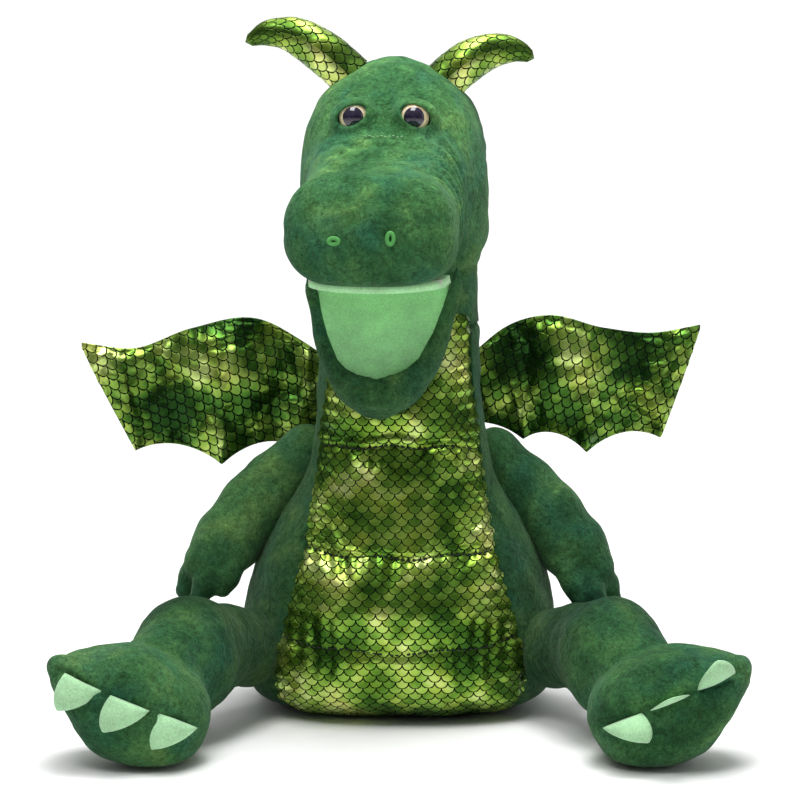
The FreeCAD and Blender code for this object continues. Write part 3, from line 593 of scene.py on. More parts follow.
def foil_material(name, width, pitch, dark, middle, light, gleam, turn=0.0, ink_width=0.12):
    """Printed foil with fish scales under broad bands of painted reflection; width and row pitch
    are in millimetres.
    """
    n = Nodes(name)
    uv = n.add("UVMap", uv_map="cloth")
    turned = n.add("VectorRotate", rotation_type="Z_AXIS")
    n.link(uv.outputs[0], turned.inputs["Vector"])
    turned.inputs["Angle"].default_value = turn
    split = n.add("SeparateXYZ")
    n.link(turned.outputs[0], split.inputs[0])
    u = n.math("DIVIDE", split.outputs[0], width * MM)
    v = n.math("DIVIDE", split.outputs[1], pitch * MM)
    row = n.math("CEIL", v)
    drop = n.math("SUBTRACT", row, v)
    parity = n.math("FLOORED_MODULO", row, 2.0)
    shift = n.math("MULTIPLY", parity, 0.5)
    upper = n.math("ADD", u, shift)
    upper_cell = n.math("FLOOR", upper)
    upper_side = n.math("SUBTRACT", n.math("SUBTRACT", upper, upper_cell), 0.5)
    lower = n.math("ADD", upper, 0.5)
    lower_cell = n.math("FLOOR", lower)
    across = n.math("MULTIPLY", upper_side, 2.0)
    reach = n.math("SQRT", n.math("ADD", n.math("MULTIPLY", across, across),
                                  n.math("MULTIPLY", drop, drop)))
    under = n.math("GREATER_THAN", reach, 1.0)
    # the scale that shows: the upper row's inside its arc, the next row's outside it
    cell = n.math("ADD", n.math("MULTIPLY", upper_cell, n.math("SUBTRACT", 1.0, under)),
                  n.math("MULTIPLY", n.math("SUBTRACT", lower_cell, parity), under))
    level = n.math("SUBTRACT", row, under)
    key = n.add("CombineXYZ")
    n.link(cell, key.inputs[0])
    n.link(level, key.inputs[1])
    chance = n.add("TexWhiteNoise", noise_dimensions="3D")
    n.link(key.outputs[0], chance.inputs["Vector"])
    luck = n.add("SeparateColor")
    n.link(chance.outputs["Color"], luck.inputs[0])
    flat = n.add("CombineXYZ")
    n.link(split.outputs[0], flat.inputs[0])
    n.link(split.outputs[1], flat.inputs[1])
    wave = n.noise(flat.outputs[0], 20.0, 1.0, 0.4, 0.3)
    shimmer = n.noise(flat.outputs[0], 60.0, 2.0, 0.5, 0.4)
    crinkle = n.noise(flat.outputs[0], 420.0, 3.0, 0.6, 0.8)
    # the base colour runs in broad bands from dark to gleam: painted reflection of the lights on
    # the foil, with a little tone of each printed scale
    tone = n.math("ADD", n.math("MULTIPLY", luck.outputs[0], 0.10),
                  n.math("ADD", n.math("MULTIPLY", wave, 0.66),
                         n.math("MULTIPLY", shimmer, 0.24)))
    base = n.ramp(tone, [(0.38, srgb(*dark)), (0.47, srgb(*middle)), (0.55, srgb(*light)),
                         (0.66, srgb(*gleam))])
    gold = n.ramp(n.noise(flat.outputs[0], 52.0, 2.0, 0.5, 0.3),
                  [(0.45, (0.0, 0.0, 0.0)), (0.65, (1.0, 1.0, 1.0))])
    base = n.mix(n.math("MULTIPLY", gold, 0.5), base,
                 n.mix(1.0, base, (1.12, 0.90, 0.50), "MULTIPLY"))
    edge = n.math("ABSOLUTE", n.math("SUBTRACT", reach, 1.0))
    ink = n.ramp(edge, [(ink_width * 0.6, (1.0, 1.0, 1.0)), (ink_width, (0.0, 0.0, 0.0))])
    colour = n.mix(ink, base, srgb(4, 14, 7))
    n.link(n.math("MULTIPLY_ADD", ink, -0.85, 0.92), n.shader.inputs["Metallic"])
    n.link(n.math("MULTIPLY_ADD", ink, -0.47, 0.5), n.shader.inputs["Specular IOR Level"])
    n.link(n.math("MULTIPLY_ADD", ink, 0.4, n.math("MULTIPLY_ADD", crinkle, 0.12, 0.27)),
           n.shader.inputs["Roughness"])
    # the foil is softly creased, and each scale catches the light at its own slant
    slant = n.math("MULTIPLY_ADD", across, n.math("SUBTRACT", luck.outputs[1], 0.5),
                   n.math("MULTIPLY", drop, n.math("SUBTRACT", luck.outputs[2], 0.5)))
    creases = n.bump(n.math("MULTIPLY_ADD", wave, 2.0, n.math("MULTIPLY", shimmer, 0.3)),
                     0.006, 0.5)
    scales = n.math("MULTIPLY_ADD", slant, 0.5, n.math("MULTIPLY", ink, -0.6))
    normal = n.bump(scales, 0.0006, 0.5, creases)
    return n.finish(colour, normal)


def fleece_material(name, r, g, b, grain=900.0, depth=0.0006):
    n = Nodes(name)
    place = n.rest()
    fine = n.noise(place, grain, 3.0, 0.6, 0.6)
    soft = n.noise(place, 60.0, 2.0, 0.5)
    shade = n.ramp(n.math("ADD", n.math("MULTIPLY", fine, 0.6), n.math("MULTIPLY", soft, 0.4)),
                   [(0.35, srgb(r, g, b, 0.88)), (0.65, srgb(r, g, b, 1.06))])
    return n.finish(shade, n.bump(fine, depth, 0.5), roughness=0.95, sheen_weight=0.25,
                    specular_ior_level=0.1)


def plain_material(name, r, g, b, rough, grain=300.0):
    """A slightly uneven material for threads and the pieces inside, whose pattern follows them."""
    n = Nodes(name)
    fine = n.noise(n.add("TexCoord").outputs["Object"], grain, 3.0, 0.6)
    shade = n.ramp(fine, [(0.35, srgb(r, g, b, 0.85)), (0.65, srgb(r, g, b))])
    return n.finish(shade, n.bump(fine, 0.0004, 0.4), roughness=rough)


# three copies of one plush, as painted shade and painted light: arms, jaw and tail darker
# throughout; body and head darker low down and lighter on top; legs darker near the body
PLUSH = plush_material("plush_green", 0.88)
BODY_PLUSH = plush_material("plush_body", 1.0, (0.22, 0.62), (0.46, 1.34))
LEG_PLUSH = plush_material("plush_leg", 0.95, (-0.162, 1.0), (-0.110, 0.42), 1)
# the lighter colours of each foil, up to its gleam, paint its reflection in broad bands
BELLY_FOIL = foil_material("foil_belly", 9.4, 4.6, (52, 92, 26), (102, 146, 50), (160, 194, 84),
                           (222, 238, 152))
WING_FOIL = {side: foil_material("foil_wing_" + side, 8.4, 6.6, (30, 64, 20), (70, 114, 40),
                                 (132, 166, 70), (206, 228, 134), math.radians(lean))
             for side, lean in (("left", -38.0), ("right", 20.0))}
HORN_FOIL = foil_material("foil_horn", 8.0, 6.0, (66, 100, 34), (100, 138, 50), (148, 180, 80),
                          (214, 232, 148))
FLEECE = fleece_material("mouth_fleece", 180, 238, 176)
FELT = fleece_material("claw_felt", 166, 212, 164, 700.0, 0.0005)
LINING = plain_material("lining_weave", 30, 58, 36, 0.85)
THREAD = plain_material("thread_green", 84, 170, 82, 0.7, 900.0)
DARK_THREAD = plain_material("thread_dark", 14, 30, 16, 0.7, 900.0)
PALE_THREAD = plain_material("thread_pale", 132, 182, 128, 0.7, 900.0)


# ---------------------------------------------------------------- the body's forms
# share of the height, half width, front and back depth, as shares of the body's box
TORSO_SHARES = [(0.0, 0.75, 0.61, 0.75), (0.034, 0.89, 0.79, 0.916), (0.122, 0.99, 0.947, 1.0),
                (0.237, 1.0, 1.0, 0.988), (0.344, 0.966, 0.968, 0.94), (0.439, 0.906, 0.905, 0.88),
                (0.553, 0.786, 0.81, 0.795), (0.668, 0.632, 0.726, 0.70),
                (0.775, 0.556, 0.674, 0.65), (0.885, 0.521, 0.632, 0.614),
                (1.0, 0.504, 0.60, 0.602), (1.19, 0.495, 0.55, 0.60), (1.36, 0.485, 0.53, 0.60)]


def torso_rings():
    half = (TORSO_HIGH[0] - TORSO_LOW[0]) / 2
    front = -TORSO_LOW[1]
    back = TORSO_HIGH[1]
    return [(share * TORSO_HEIGHT, a * half, b * front, c * back)
            for share, a, b, c in TORSO_SHARES]


TORSO_RINGS = torso_rings()
# height, half width, front and back depth round the head's axis, in mm above the floor
CRANIUM_RINGS = [(326, 40, 48, 42), (333, 58, 54, 58), (343, 65, 59, 66), (375, 68.5, 64, 71),
                 (410, 68, 64, 71), (438, 63, 59, 66), (460, 51, 48, 54), (474, 35, 33, 38),
                 (482, 20, 19, 22), (485.5, 6, 6, 6)]
SNOUT_RINGS = [(30, 54, 328, 442), (60, 57, 326, 434), (86, 57, 325, 420), (112, 56, 325, 409),
               (136, 55, 326, 402), (156, 48, 333, 393), (166, 33, 344, 378)]


def to_head(p):
    """Points in the head's own frame: its middle plane is x 0 and its axis is the origin."""
    return turn_about_z(p, np.array([HEAD_PIVOT[0], HEAD_PIVOT[1], 0.0]), -YAW)


def from_head(q):
    p = turn_about_z(q, np.zeros(3), YAW)
    return p + np.array([HEAD_PIVOT[0], HEAD_PIVOT[1], 0.0])


def to_jaw(p):
    """Points in the jaw's own frame: closed, hinge at the origin, mouth lining at z 0."""
    hinge = to_head(JAW_HINGE[None, :])[0]
    return turn_about_x(to_head(p) - hinge, -JAW_OPEN)


def from_jaw(q):
    hinge = to_head(JAW_HINGE[None, :])[0]
    return from_head(turn_about_x(q, JAW_OPEN) + hinge)


def trunk_field(p):
    """Body and neck, before the openings."""
    return ring_field(p, TORSO_RINGS)


def channel_field(p):
    """The arm space through the back, body and neck, a little wider than its lining."""
    entry_middle = (ENTRY_LOW + ENTRY_HIGH) / 2
    entry = oval_field(p, (0.0, entry_middle[2]), *ENTRY_SPACE, (0, 2))
    entry = np.maximum(entry, -p[:, 1])
    up = oval_field(p, (0.0, 0.0), *ARM_SPACE, (0, 1))
    up = np.maximum(up, ARM_SPACE_LOW - p[:, 2])
    return np.minimum(entry, up)


def eye_opening(q, sign):
    """The slanting gap between the lids of one eye: its outer end is lower."""
    out = q[:, 0] * sign - EYE_OUT
    up = q[:, 2] - EYE_Z - EYE_LIFT
    c = math.cos(EYE_SLANT)
    s = math.sin(EYE_SLANT)
    along_lid = (out * c - up * s) / LID_GAP[0]
    across_lid = (out * s + up * c) / LID_GAP[1]
    rod = (np.sqrt(along_lid ** 2 + across_lid ** 2) - 1) * LID_GAP[1]
    return np.maximum(rod, q[:, 1] - FACE_BACK)


def head_field(p):
    q = to_head(p)
    cranium = ring_field(q, CRANIUM_RINGS)
    snout = forward_field(q, SNOUT_RINGS)
    field = smooth_union(cranium, snout, 16.0)
    nose = ball_field(q, (0.0, -137.0, 366.0), (59.0, 33.0, 41.0), 2.7)
    field = smooth_union(field, nose, 7.0)
    for sign in (-1, 1):
        field = smooth_union(field, ball_field(q, (sign * 22.0, -57.0, EYE_Z), (18.0, 11.0, 14.0)),
                             5.0)
        field = smooth_cut(field, eye_opening(q, sign), 2.0)
    return field


def whole_field(p):
    """Body, neck and head as one skin, before the openings."""
    body = trunk_field(p)
    q = to_head(p)
    head = head_field(p)
    # the mouth: nothing of the head under the upper lining, in front of the neck
    mouth = np.maximum(q[:, 2] - MOUTH_Z - MOUTH_CUT, q[:, 1] - FACE_BACK)
    head = smooth_cut(head, mouth, 5.0)
    return smooth_union(body, head, 4.0)


def plush_folds(p, n, amount=1.0):
    """The soft unevenness of stuffed plush."""
    lumps = noise(p, 34.0, 3) * 1.3 + noise(p, 15.0, 4) * 0.85 + noise(p, 7.0, 5) * 0.4
    return p + n * (lumps * amount)[:, None]


def folds_above_floor(p, n, amount=1.0):
    """The same, fading out where the plush rests on the floor."""
    return plush_folds(p, n * smoothstep(0.0, 12.0, p[:, 2])[:, None], amount)


def head_folds(p, n):
    """Creases across the bridge and down the cheek, besides the usual unevenness."""
    q = to_head(p)
    x, y, z = q.T
    bridge = smoothstep(400, 407, z) * smoothstep(430, 423, z) * smoothstep(42, 28, np.abs(x))
    bridge = bridge * smoothstep(-66, -80, y)
    crease = 1.5 * bridge * np.sin(2 * math.pi * z / 8.0 + 0.04 * x)
    cheek = smoothstep(30, 48, x) * smoothstep(-48, -66, y) * smoothstep(-134, -116, y)
    crease += 2.0 * cheek * np.sin(2 * math.pi * (y + 0.2 * z) / 12.0)
    # the edge of the mouth is sewn flat
    calm = np.where(y < -50, smoothstep(MOUTH_Z + 2, MOUTH_Z + 14, z), 1.0)
    return plush_folds(p, n * calm[:, None]) + n * crease[:, None]


# share of the body's height, and the panel's half width as a share of the body's
BELLY_SHARES = [(0.015, 0.60), (0.035, 0.70), (0.06, 0.76), (0.10, 0.785), (0.17, 0.785),
                (0.25, 0.745), (0.35, 0.68), (0.50, 0.60), (0.76, 0.51), (1.0, 0.46), (1.19, 0.44)]
# stitched rows: height as a share of the body's, and how far the middle hangs below the ends, in mm
BELLY_SEAMS = ((0.252, 9.0), (0.495, 5.0), (0.765, -3.0))


def belly_half(shares):
    half_width = (TORSO_HIGH[0] - TORSO_LOW[0]) / 2
    return along([(share, wide * half_width) for share, wide in BELLY_SHARES], shares)[0]


def make_body():
    def lower(p):
        field = whole_field(p) + smoothstep(NECK_SEAM - 5, NECK_SEAM, p[:, 2]) * 1.4
        # the plush lies lower where the belly panel covers it
        inward = belly_half(p[:, 2] / TORSO_HEIGHT) - np.abs(p[:, 0])
        covered = smoothstep(0.5, 5.0, inward) * (p[:, 1] < -10)
        covered = covered * (1 - smoothstep(1.10, 1.14, p[:, 2] / TORSO_HEIGHT))
        field = field + UNDER_PANEL * covered
        field = np.maximum(field, p[:, 2] - NECK_SEAM - 2.0)
        field = smooth_cut(field, channel_field(p), 3.0)
        return rest_on_floor(p, field, 6.0, 0.5)

    piece = plush_form("body_plush", lower, (-122, -102, -2), (122, 92, NECK_SEAM + 6), 2.4,
                       BODY_PLUSH, folds_above_floor)
    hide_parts("torso_side_left", "torso_side_right", "base_panel", "body_filling",
                "neck_plush", "throat_panel", "neck_filling")
    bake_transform(piece)
    return piece


def make_head():
    def upper(p):
        field = np.maximum(whole_field(p), NECK_SEAM - p[:, 2])
        palm = oval_field(to_head(p), (0.0, 0.0), *ARM_SPACE, (0, 1))
        palm = np.maximum(palm, p[:, 2] - PALM_SPACE_HIGH)
        return smooth_cut(field, palm, 3.0)

    piece = plush_form("head_plush", upper, (-92, -180, NECK_SEAM - 4), (76, 78, 490), 2.0,
                       BODY_PLUSH, head_folds)
    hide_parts("head_cowl", "snout_cover", "head_filling", "snout_filling")
    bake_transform(piece)
    return piece


# ---------------------------------------------------------------- belly panel
def front_of_body(x, z):
    """y of the body's front surface at places x, z."""
    return front_of(trunk_field, x, z, -140.0, 0.0)


def seam_height(a, seam, sag):
    """Height of a stitched row at a share a of the panel's half width."""
    return seam * TORSO_HEIGHT - sag * (1 - a ** 2) + 1.2 * np.sin(a * 9 + seam * 20)


def make_belly_stitches():
    """Dark thread along the stitched rows, lying in their valleys."""
    paths = []
    for seam, sag in BELLY_SEAMS:
        count = int(belly_half(np.array([seam]))[0] * 2 * 0.96 / 4.0)
        for k in range(count):
            a = np.linspace(k + 0.12, k + 0.88, 6) / count * 1.92 - 0.96
            z = seam_height(a, seam, sag)
            x = a * belly_half(z / TORSO_HEIGHT)
            paths.append(np.stack([x, front_of_body(x, z) - 1.4, z], 1))
    piece = mesh_object("belly_stitches", *threads(paths, 0.7), DARK_THREAD)
    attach(piece, "torso")
    return piece


def make_belly():
    rows = 150
    columns = 90
    shares = np.linspace(0.008, 1.14, rows)
    across = np.sin(np.linspace(-math.pi / 2, math.pi / 2, columns) * 0.93) / math.sin(
        math.pi / 2 * 0.93)
    s, a = np.meshgrid(shares, across, indexing="ij")
    half = belly_half(s.ravel())
    x = a.ravel() * half
    z = s.ravel() * TORSO_HEIGHT
    y = front_of_body(x, z)
    skin = np.stack([x, y, z], 1)
    slope = np.stack([(trunk_field(skin + h) - trunk_field(skin - h)) for h in np.eye(3)], 1)
    normal = slope / np.linalg.norm(slope, axis=1)[:, None]
    edge = 1 - np.abs(a.ravel())
    puff = 2.6 * smoothstep(0.0, 0.10, edge) * smoothstep(0.015, 0.05, s.ravel())
    for seam, sag in BELLY_SEAMS:
        near_seam = z - seam_height(a.ravel(), seam, sag)
        puff -= 1.9 * np.exp(-(near_seam / 3.2) ** 2)
        gather = np.sin(x * 0.55 + 3 * seam) * np.exp(-(near_seam / 14.0) ** 2)
        puff += 0.6 * gather
    # the panel is gathered into its side seams
    puff += 0.9 * np.sin(z * 0.62 + 2.0 * a.ravel()) * smoothstep(0.35, 0.05, edge)
    puff += noise(skin, 26.0, 8) * 1.1
    puff -= 1.6 * smoothstep(0.86, 1.0, s.ravel())
    front = skin + normal * puff[:, None]
    back = skin - normal * 5.0
    grid = front.reshape(rows, columns, 3)
    u_step = np.linalg.norm(np.diff(grid, axis=1), axis=2)
    u = np.concatenate([np.zeros((rows, 1)), np.cumsum(u_step, axis=1)], 1)
    u -= u[:, columns // 2][:, None]
    v_step = np.linalg.norm(np.diff(grid[:, columns // 2], axis=0), axis=1)
    v = np.concatenate([[0.0], np.cumsum(v_step)])
    uv = np.stack([u, np.repeat(v[:, None], columns, 1)], 2).reshape(-1, 2)
    points, faces = closed_grid(front, back, rows, columns)
    sewn = edge < 0.02
    for seam, sag in BELLY_SEAMS:
        sewn |= np.abs(z - seam_height(a.ravel(), seam, sag)) < 1.2
    # under the jaw the panel lies flat, so that the head can nod over it
    sewn |= (s.ravel() < 0.02) | (s.ravel() > 1.0)
    points = billow(points, faces, np.concatenate([sewn, np.ones_like(sewn)]), 6.0, 5.0, 0.03)
    piece = mesh_object("belly_foil", points, faces, BELLY_FOIL, np.concatenate([uv, uv]))
    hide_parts("belly_panel")
    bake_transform(piece)
    return piece


# ---------------------------------------------------------------- jaw and mouth
def jaw_field(p):
    """The lower jaw: a scoop with a raised rim, from rings of half width and depth."""
    q = to_jaw(p)
    ahead = -q[:, 1]
    table = [(-14, 54, 3), (4, 57, 7), (20, 53.5, 15), (46, 47, 23), (70, 37.5, 27), (88, 25.5, 25),
             (99, 11, 16)]
    half, deep = along(table, ahead)
    rim = 7.5 * smoothstep(-22, 10, ahead)
    middle = (rim - deep) / 2
    tall = (rim + deep) / 2
    reach = (np.abs(q[:, 0] / half) ** 2.5 + np.abs((q[:, 2] - middle) / tall) ** 2.5) ** 0.4
    side = (reach - 1) * np.minimum(half, tall)
    ends = np.maximum(JAW_BACK - ahead, ahead - JAW_TIP)
    return np.maximum(side, ends)


def mouth_outline(ahead):
    """Half width of the mouth lining at a distance ahead of the fold, on the jaw."""
    table = [(0, 47.5), (17.5, 43), (40, 37), (60, 28.5), (69, 20.5), (74, 12), (MOUTH_REACH, 1)]
    return np.interp(ahead, *zip(*table))


def jaw_lining_half(ahead):
    """Half width of the fleece itself, which runs on under the jaw's plush rim."""
    table = [(0, 47.5), (9, 47), (20, 46.5), (40, 42.5), (60, 33), (70, 23.5), (75.5, 14.5),
             (LOWER_LINING, 2)]
    return np.interp(ahead, *zip(*table))


def make_jaw():
    def jaw(p):
        q = to_jaw(p)
        ahead = -q[:, 1]
        half = mouth_outline(ahead) + 0.5
        inside = np.maximum(np.abs(q[:, 0]) - half, ahead - MOUTH_REACH)
        dish = np.maximum(inside, -(q[:, 2] + DISH_DEPTH))
        return smooth_cut(jaw_field(p), dish, 4.0)

    corners = from_jaw(np.array([(x, y, z) for x in (-66, 66) for y in (-106, 20)
                                 for z in (-34, 12)], float))
    piece = plush_form("jaw_plush", jaw, corners.min(0), corners.max(0), 1.8, PLUSH,
                       lambda p, n: plush_folds(p, n, 0.6))
    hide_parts("jaw_cover", "jaw_filling")
    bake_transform(piece)
    return piece


def make_mouth_lining():
    """One fleece sheet: under the upper board, round the fold and down over the jaw."""
    columns = 49
    path = [("upper", t * UPPER_LINING) for t in np.linspace(1.0, 0.0, 30)]
    path += [("lower", t * LOWER_LINING) for t in np.linspace(0.02, 1.0, 40)]
    rows = len(path)
    front = np.zeros((rows, columns, 3))
    hinge = to_head(JAW_HINGE[None, :])[0]
    share = np.linspace(-1, 1, columns)
    for i, (side, reach) in enumerate(path):
        if side == "upper":
            t = reach / UPPER_LINING
            half = UPPER_LINING_HALF * math.sqrt(max(1 - max(t - 0.40, 0) ** 2 / 0.6 ** 2, 0.0))
            x = share * max(half, 0.5)
            local = np.stack([x, np.full(columns, hinge[1] - 2 - reach),
                              np.full(columns, MOUTH_Z - 0.6 - 2.6 * t * t)], 1)
            front[i] = from_head(local)
        else:
            x = share * float(jaw_lining_half(reach))
            sag = -1.5 * (1 - share ** 2) * math.sin(math.pi * min(reach / LOWER_LINING, 1.0))
            local = np.stack([x, np.full(columns, -reach), np.full(columns, 0.3) + sag], 1)
            front[i] = from_jaw(local)
    normal = np.cross(np.gradient(front, axis=1), np.gradient(front, axis=0)).reshape(-1, 3)
    normal /= np.maximum(np.linalg.norm(normal, axis=1), 1e-9)[:, None]
    if normal[:, 1].mean() > 0:
        normal = -normal
    # over the upper board the fleece is turned round its edge, so it is as thick as the board
    thick = [1.2 + BOARD_WRAP * float(smoothstep(3, 9, reach)) if side == "upper" else 1.2
             for side, reach in path]
    flat = front.reshape(-1, 3)
    back = flat - normal * np.repeat(thick, columns)[:, None]
    points, faces = closed_grid(flat, back, rows, columns)
    piece = mesh_object("mouth_lining", points, faces, FLEECE)
    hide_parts("upper_mouth_lining", "jaw_lining")
    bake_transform(piece)
    return piece


# ---------------------------------------------------------------- limbs
def make_arm(side, sign):
    low, high = box_mm("arm_%s_cover" % side)
    shoulder = joint_mm("arm_%s_raise" % side)
    out = low[0] if sign < 0 else high[0]
    hand_z = low[2]
    span = out - shoulder[0]
    drop = shoulder[2] - hand_z

    def at(share_out, y, share_down, radius):
        return (shoulder[0] + span * share_out, y, shoulder[2] - drop * share_down, radius)

    arm = [at(-0.02, 2, -0.04, 22), at(0.22, -3, 0.16, 22.5), at(0.40, -9, 0.34, 23.5),
           at(0.60, -19, 0.56, 24), at(0.74, -28, 0.70, 18)]
    fingers = [
        [at(0.70, -22, 0.62, 14), at(0.86, -22, 0.80, 9.5), at(0.925, -26, 0.90, 6.5)],
        [at(0.62, -34, 0.66, 13), at(0.74, -42, 0.83, 9.5), at(0.80, -45, 0.92, 6.5)],
        [at(0.52, -34, 0.64, 11), at(0.59, -43, 0.78, 8.5), at(0.62, -46, 0.86, 6.0)],
    ]

    def field(p):
        total = tube_field(p, arm, 9.0)
        for finger in fingers:
            total = smooth_union(total, tube_field(p, finger, 4.0), 3.5)
        return total

    margin = np.array([4, 8, 4])
    piece = plush_form("arm_%s_plush" % side, field, low - margin - 6, high + margin + 6, 1.9,
                       PLUSH, plush_folds)
    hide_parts("arm_%s_cover" % side, "arm_%s_filling" % side)
    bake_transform(piece)
    return piece


FOOT_ROLL = math.radians(22.0)
TOE_SEAM = 8.5                  # height of the toe seam above the middle of a foot


def foot_middle(side):
    low, high = box_mm("foot_%s_upper" % side, "foot_%s_sole" % side)
    return (low + high) / 2


def to_foot(p, middle, sign):
    """Points in a foot's own frame, where the toe seam is level and -Y is ahead."""
    return turn_about_y(p - middle, -FOOT_ROLL * sign)


def from_foot(q, middle, sign):
    return turn_about_y(q, FOOT_ROLL * sign) + middle


def make_leg(side, sign):
    hip = joint_mm("leg_%s_raise" % side)
    middle = foot_middle(side)
    leg = []
    for share, out, rise, radius in ((0.0, 0, 6, 26), (0.19, 2, 12, 24), (0.44, 5, 12, 35),
                                     (0.70, 2, 2, 33)):
        place = hip + (middle - hip) * np.array([share, share, 0.0])
        leg.append((place[0] + sign * out, place[1], place[2] + rise, radius))

    def field(p):
        squeezed = p.copy()
        squeezed[:, 2] = hip[2] + (p[:, 2] - hip[2]) / 1.12
        thigh = tube_field(squeezed, leg, 14.0)
        q = to_foot(p, middle, sign)
        # the foot narrows towards its outer tip
        slim = 1 - 0.45 * smoothstep(2, 60, q[:, 0] * sign)
        narrowed = q.copy()
        narrowed[:, 2] = TOE_SEAM + (q[:, 2] - TOE_SEAM) / slim
        ball = ball_field(narrowed, (0.0, 4.0, 0.0), (57.0, 40.0, 39.0), 2.35) * slim
        sole = ball_field(narrowed, (0.0, -6.0, -10.0), (52.0, 30.0, 29.0), 2.4) * slim
        corner = ball_field(q, (sign * 53.0, -8.0, TOE_SEAM), (9.0, 9.0, 7.0))
        foot = smooth_union(smooth_union(ball, sole, 4.0), corner, 5.0)
        total = smooth_union(thigh, foot, 3.5)
        seam = np.exp(-((q[:, 2] - TOE_SEAM) / 2.2) ** 2) * smoothstep(-8, -24, q[:, 1])
        return rest_on_floor(p, total + 1.8 * seam, 8.0)

    low, high = box_mm("leg_%s_cover" % side, "foot_%s_upper" % side, "foot_%s_sole" % side)
    piece = plush_form("leg_%s_plush" % side, field, low - 10, high + 10, 2.2, LEG_PLUSH,
                       lambda p, n: folds_above_floor(p, n, 1.1))
    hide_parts("leg_%s_cover" % side, "leg_%s_filling" % side, "foot_%s_upper" % side,
                "foot_%s_sole" % side, "foot_%s_filling" % side)
    way = middle - hip
    way[2] = 0
    way /= np.linalg.norm(way)
    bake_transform(piece)
    return piece


# place across the toe seam, how far the tip leans outward, rises and stands forward, in mm
CLAWS = {"left": ((34.5, 9.5, -25.0, 2.0), (0.0, 9.5, -25.0, 2.0), (-34.5, 9.5, -25.0, 2.0)),
         "right": ((34.5, 5.0, 17.0, 14.0), (0.0, 1.0, 8.0, 20.0), (-34.5, 11.0, -19.0, 8.0))}


def make_claws(side, sign):
    """Three flat felt claws in the toe seam of a foot, joined as one piece."""
    middle = foot_middle(side)
    points = []
    faces = []
    rows = 9
    columns = 9
    for root, lean, rise, forward in CLAWS[side]:
        root_x = root * sign
        start = len(points)
        layers = []
        for layer in (1, -1):
            for i in range(rows):
                t = i / (rows - 1)
                wide = 13.2 * (1 - t ** 1.9) ** 0.8 + 1.0
                for j in range(columns):
                    a = 2 * j / (columns - 1) - 1
                    x = root_x + a * wide + lean * t * sign
                    bow = 5.5 * math.sin(math.pi * (0.2 + 0.65 * t)) * (1 - 0.35 * a * a)
                    thick = 1.9 * (1 - abs(a) ** 3) * (1 - t ** 4) + 0.5
                    y = -33.0 - bow - forward * t - layer * thick + 7.0 * (root_x / 46.0) ** 2
                    y += 7.0 * smoothstep(30.0, 52.0, x * sign)
                    z = TOE_SEAM + 1.0 + rise * t
                    layers.append((x, y, z))
        front, back = np.array(layers).reshape(2, rows * columns, 3)
        shell, quads = closed_grid(front, back, rows, columns)
        shell = from_foot(shell, middle, sign)
        points.extend(shell.tolist())
        faces.extend([tuple(v + start for v in quad) for quad in quads])
    piece = mesh_object("claws_%s_felt" % side, np.array(points), faces, FELT)
    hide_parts("claws_%s" % side)
    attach(piece, "leg_%s" % side)
    return piece


def make_tail():
    low, high = box_mm("tail_cover")
    root = joint_mm("tail_wag")
    span = high - root
    path = [(root[0], root[1], root[2], 30),
            (root[0] + span[0] * 0.06, root[1] + span[1] * 0.25, 31, 28),
            (root[0] + span[0] * 0.20, root[1] + span[1] * 0.50, 24, 22.5),
            (root[0] + span[0] * 0.48, root[1] + span[1] * 0.74, 17, 15.5),
            (root[0] + span[0] * 0.80, root[1] + span[1] * 0.90, 10.5, 9)]

    def field(p):
        return rest_on_floor(p, tube_field(p, path, 12.0), 6.0)

    piece = plush_form("tail_plush", field, low - 8, high + 8, 2.2, PLUSH, plush_folds)
    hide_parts("tail_cover", "tail_filling")
    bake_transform(piece)
    return piece


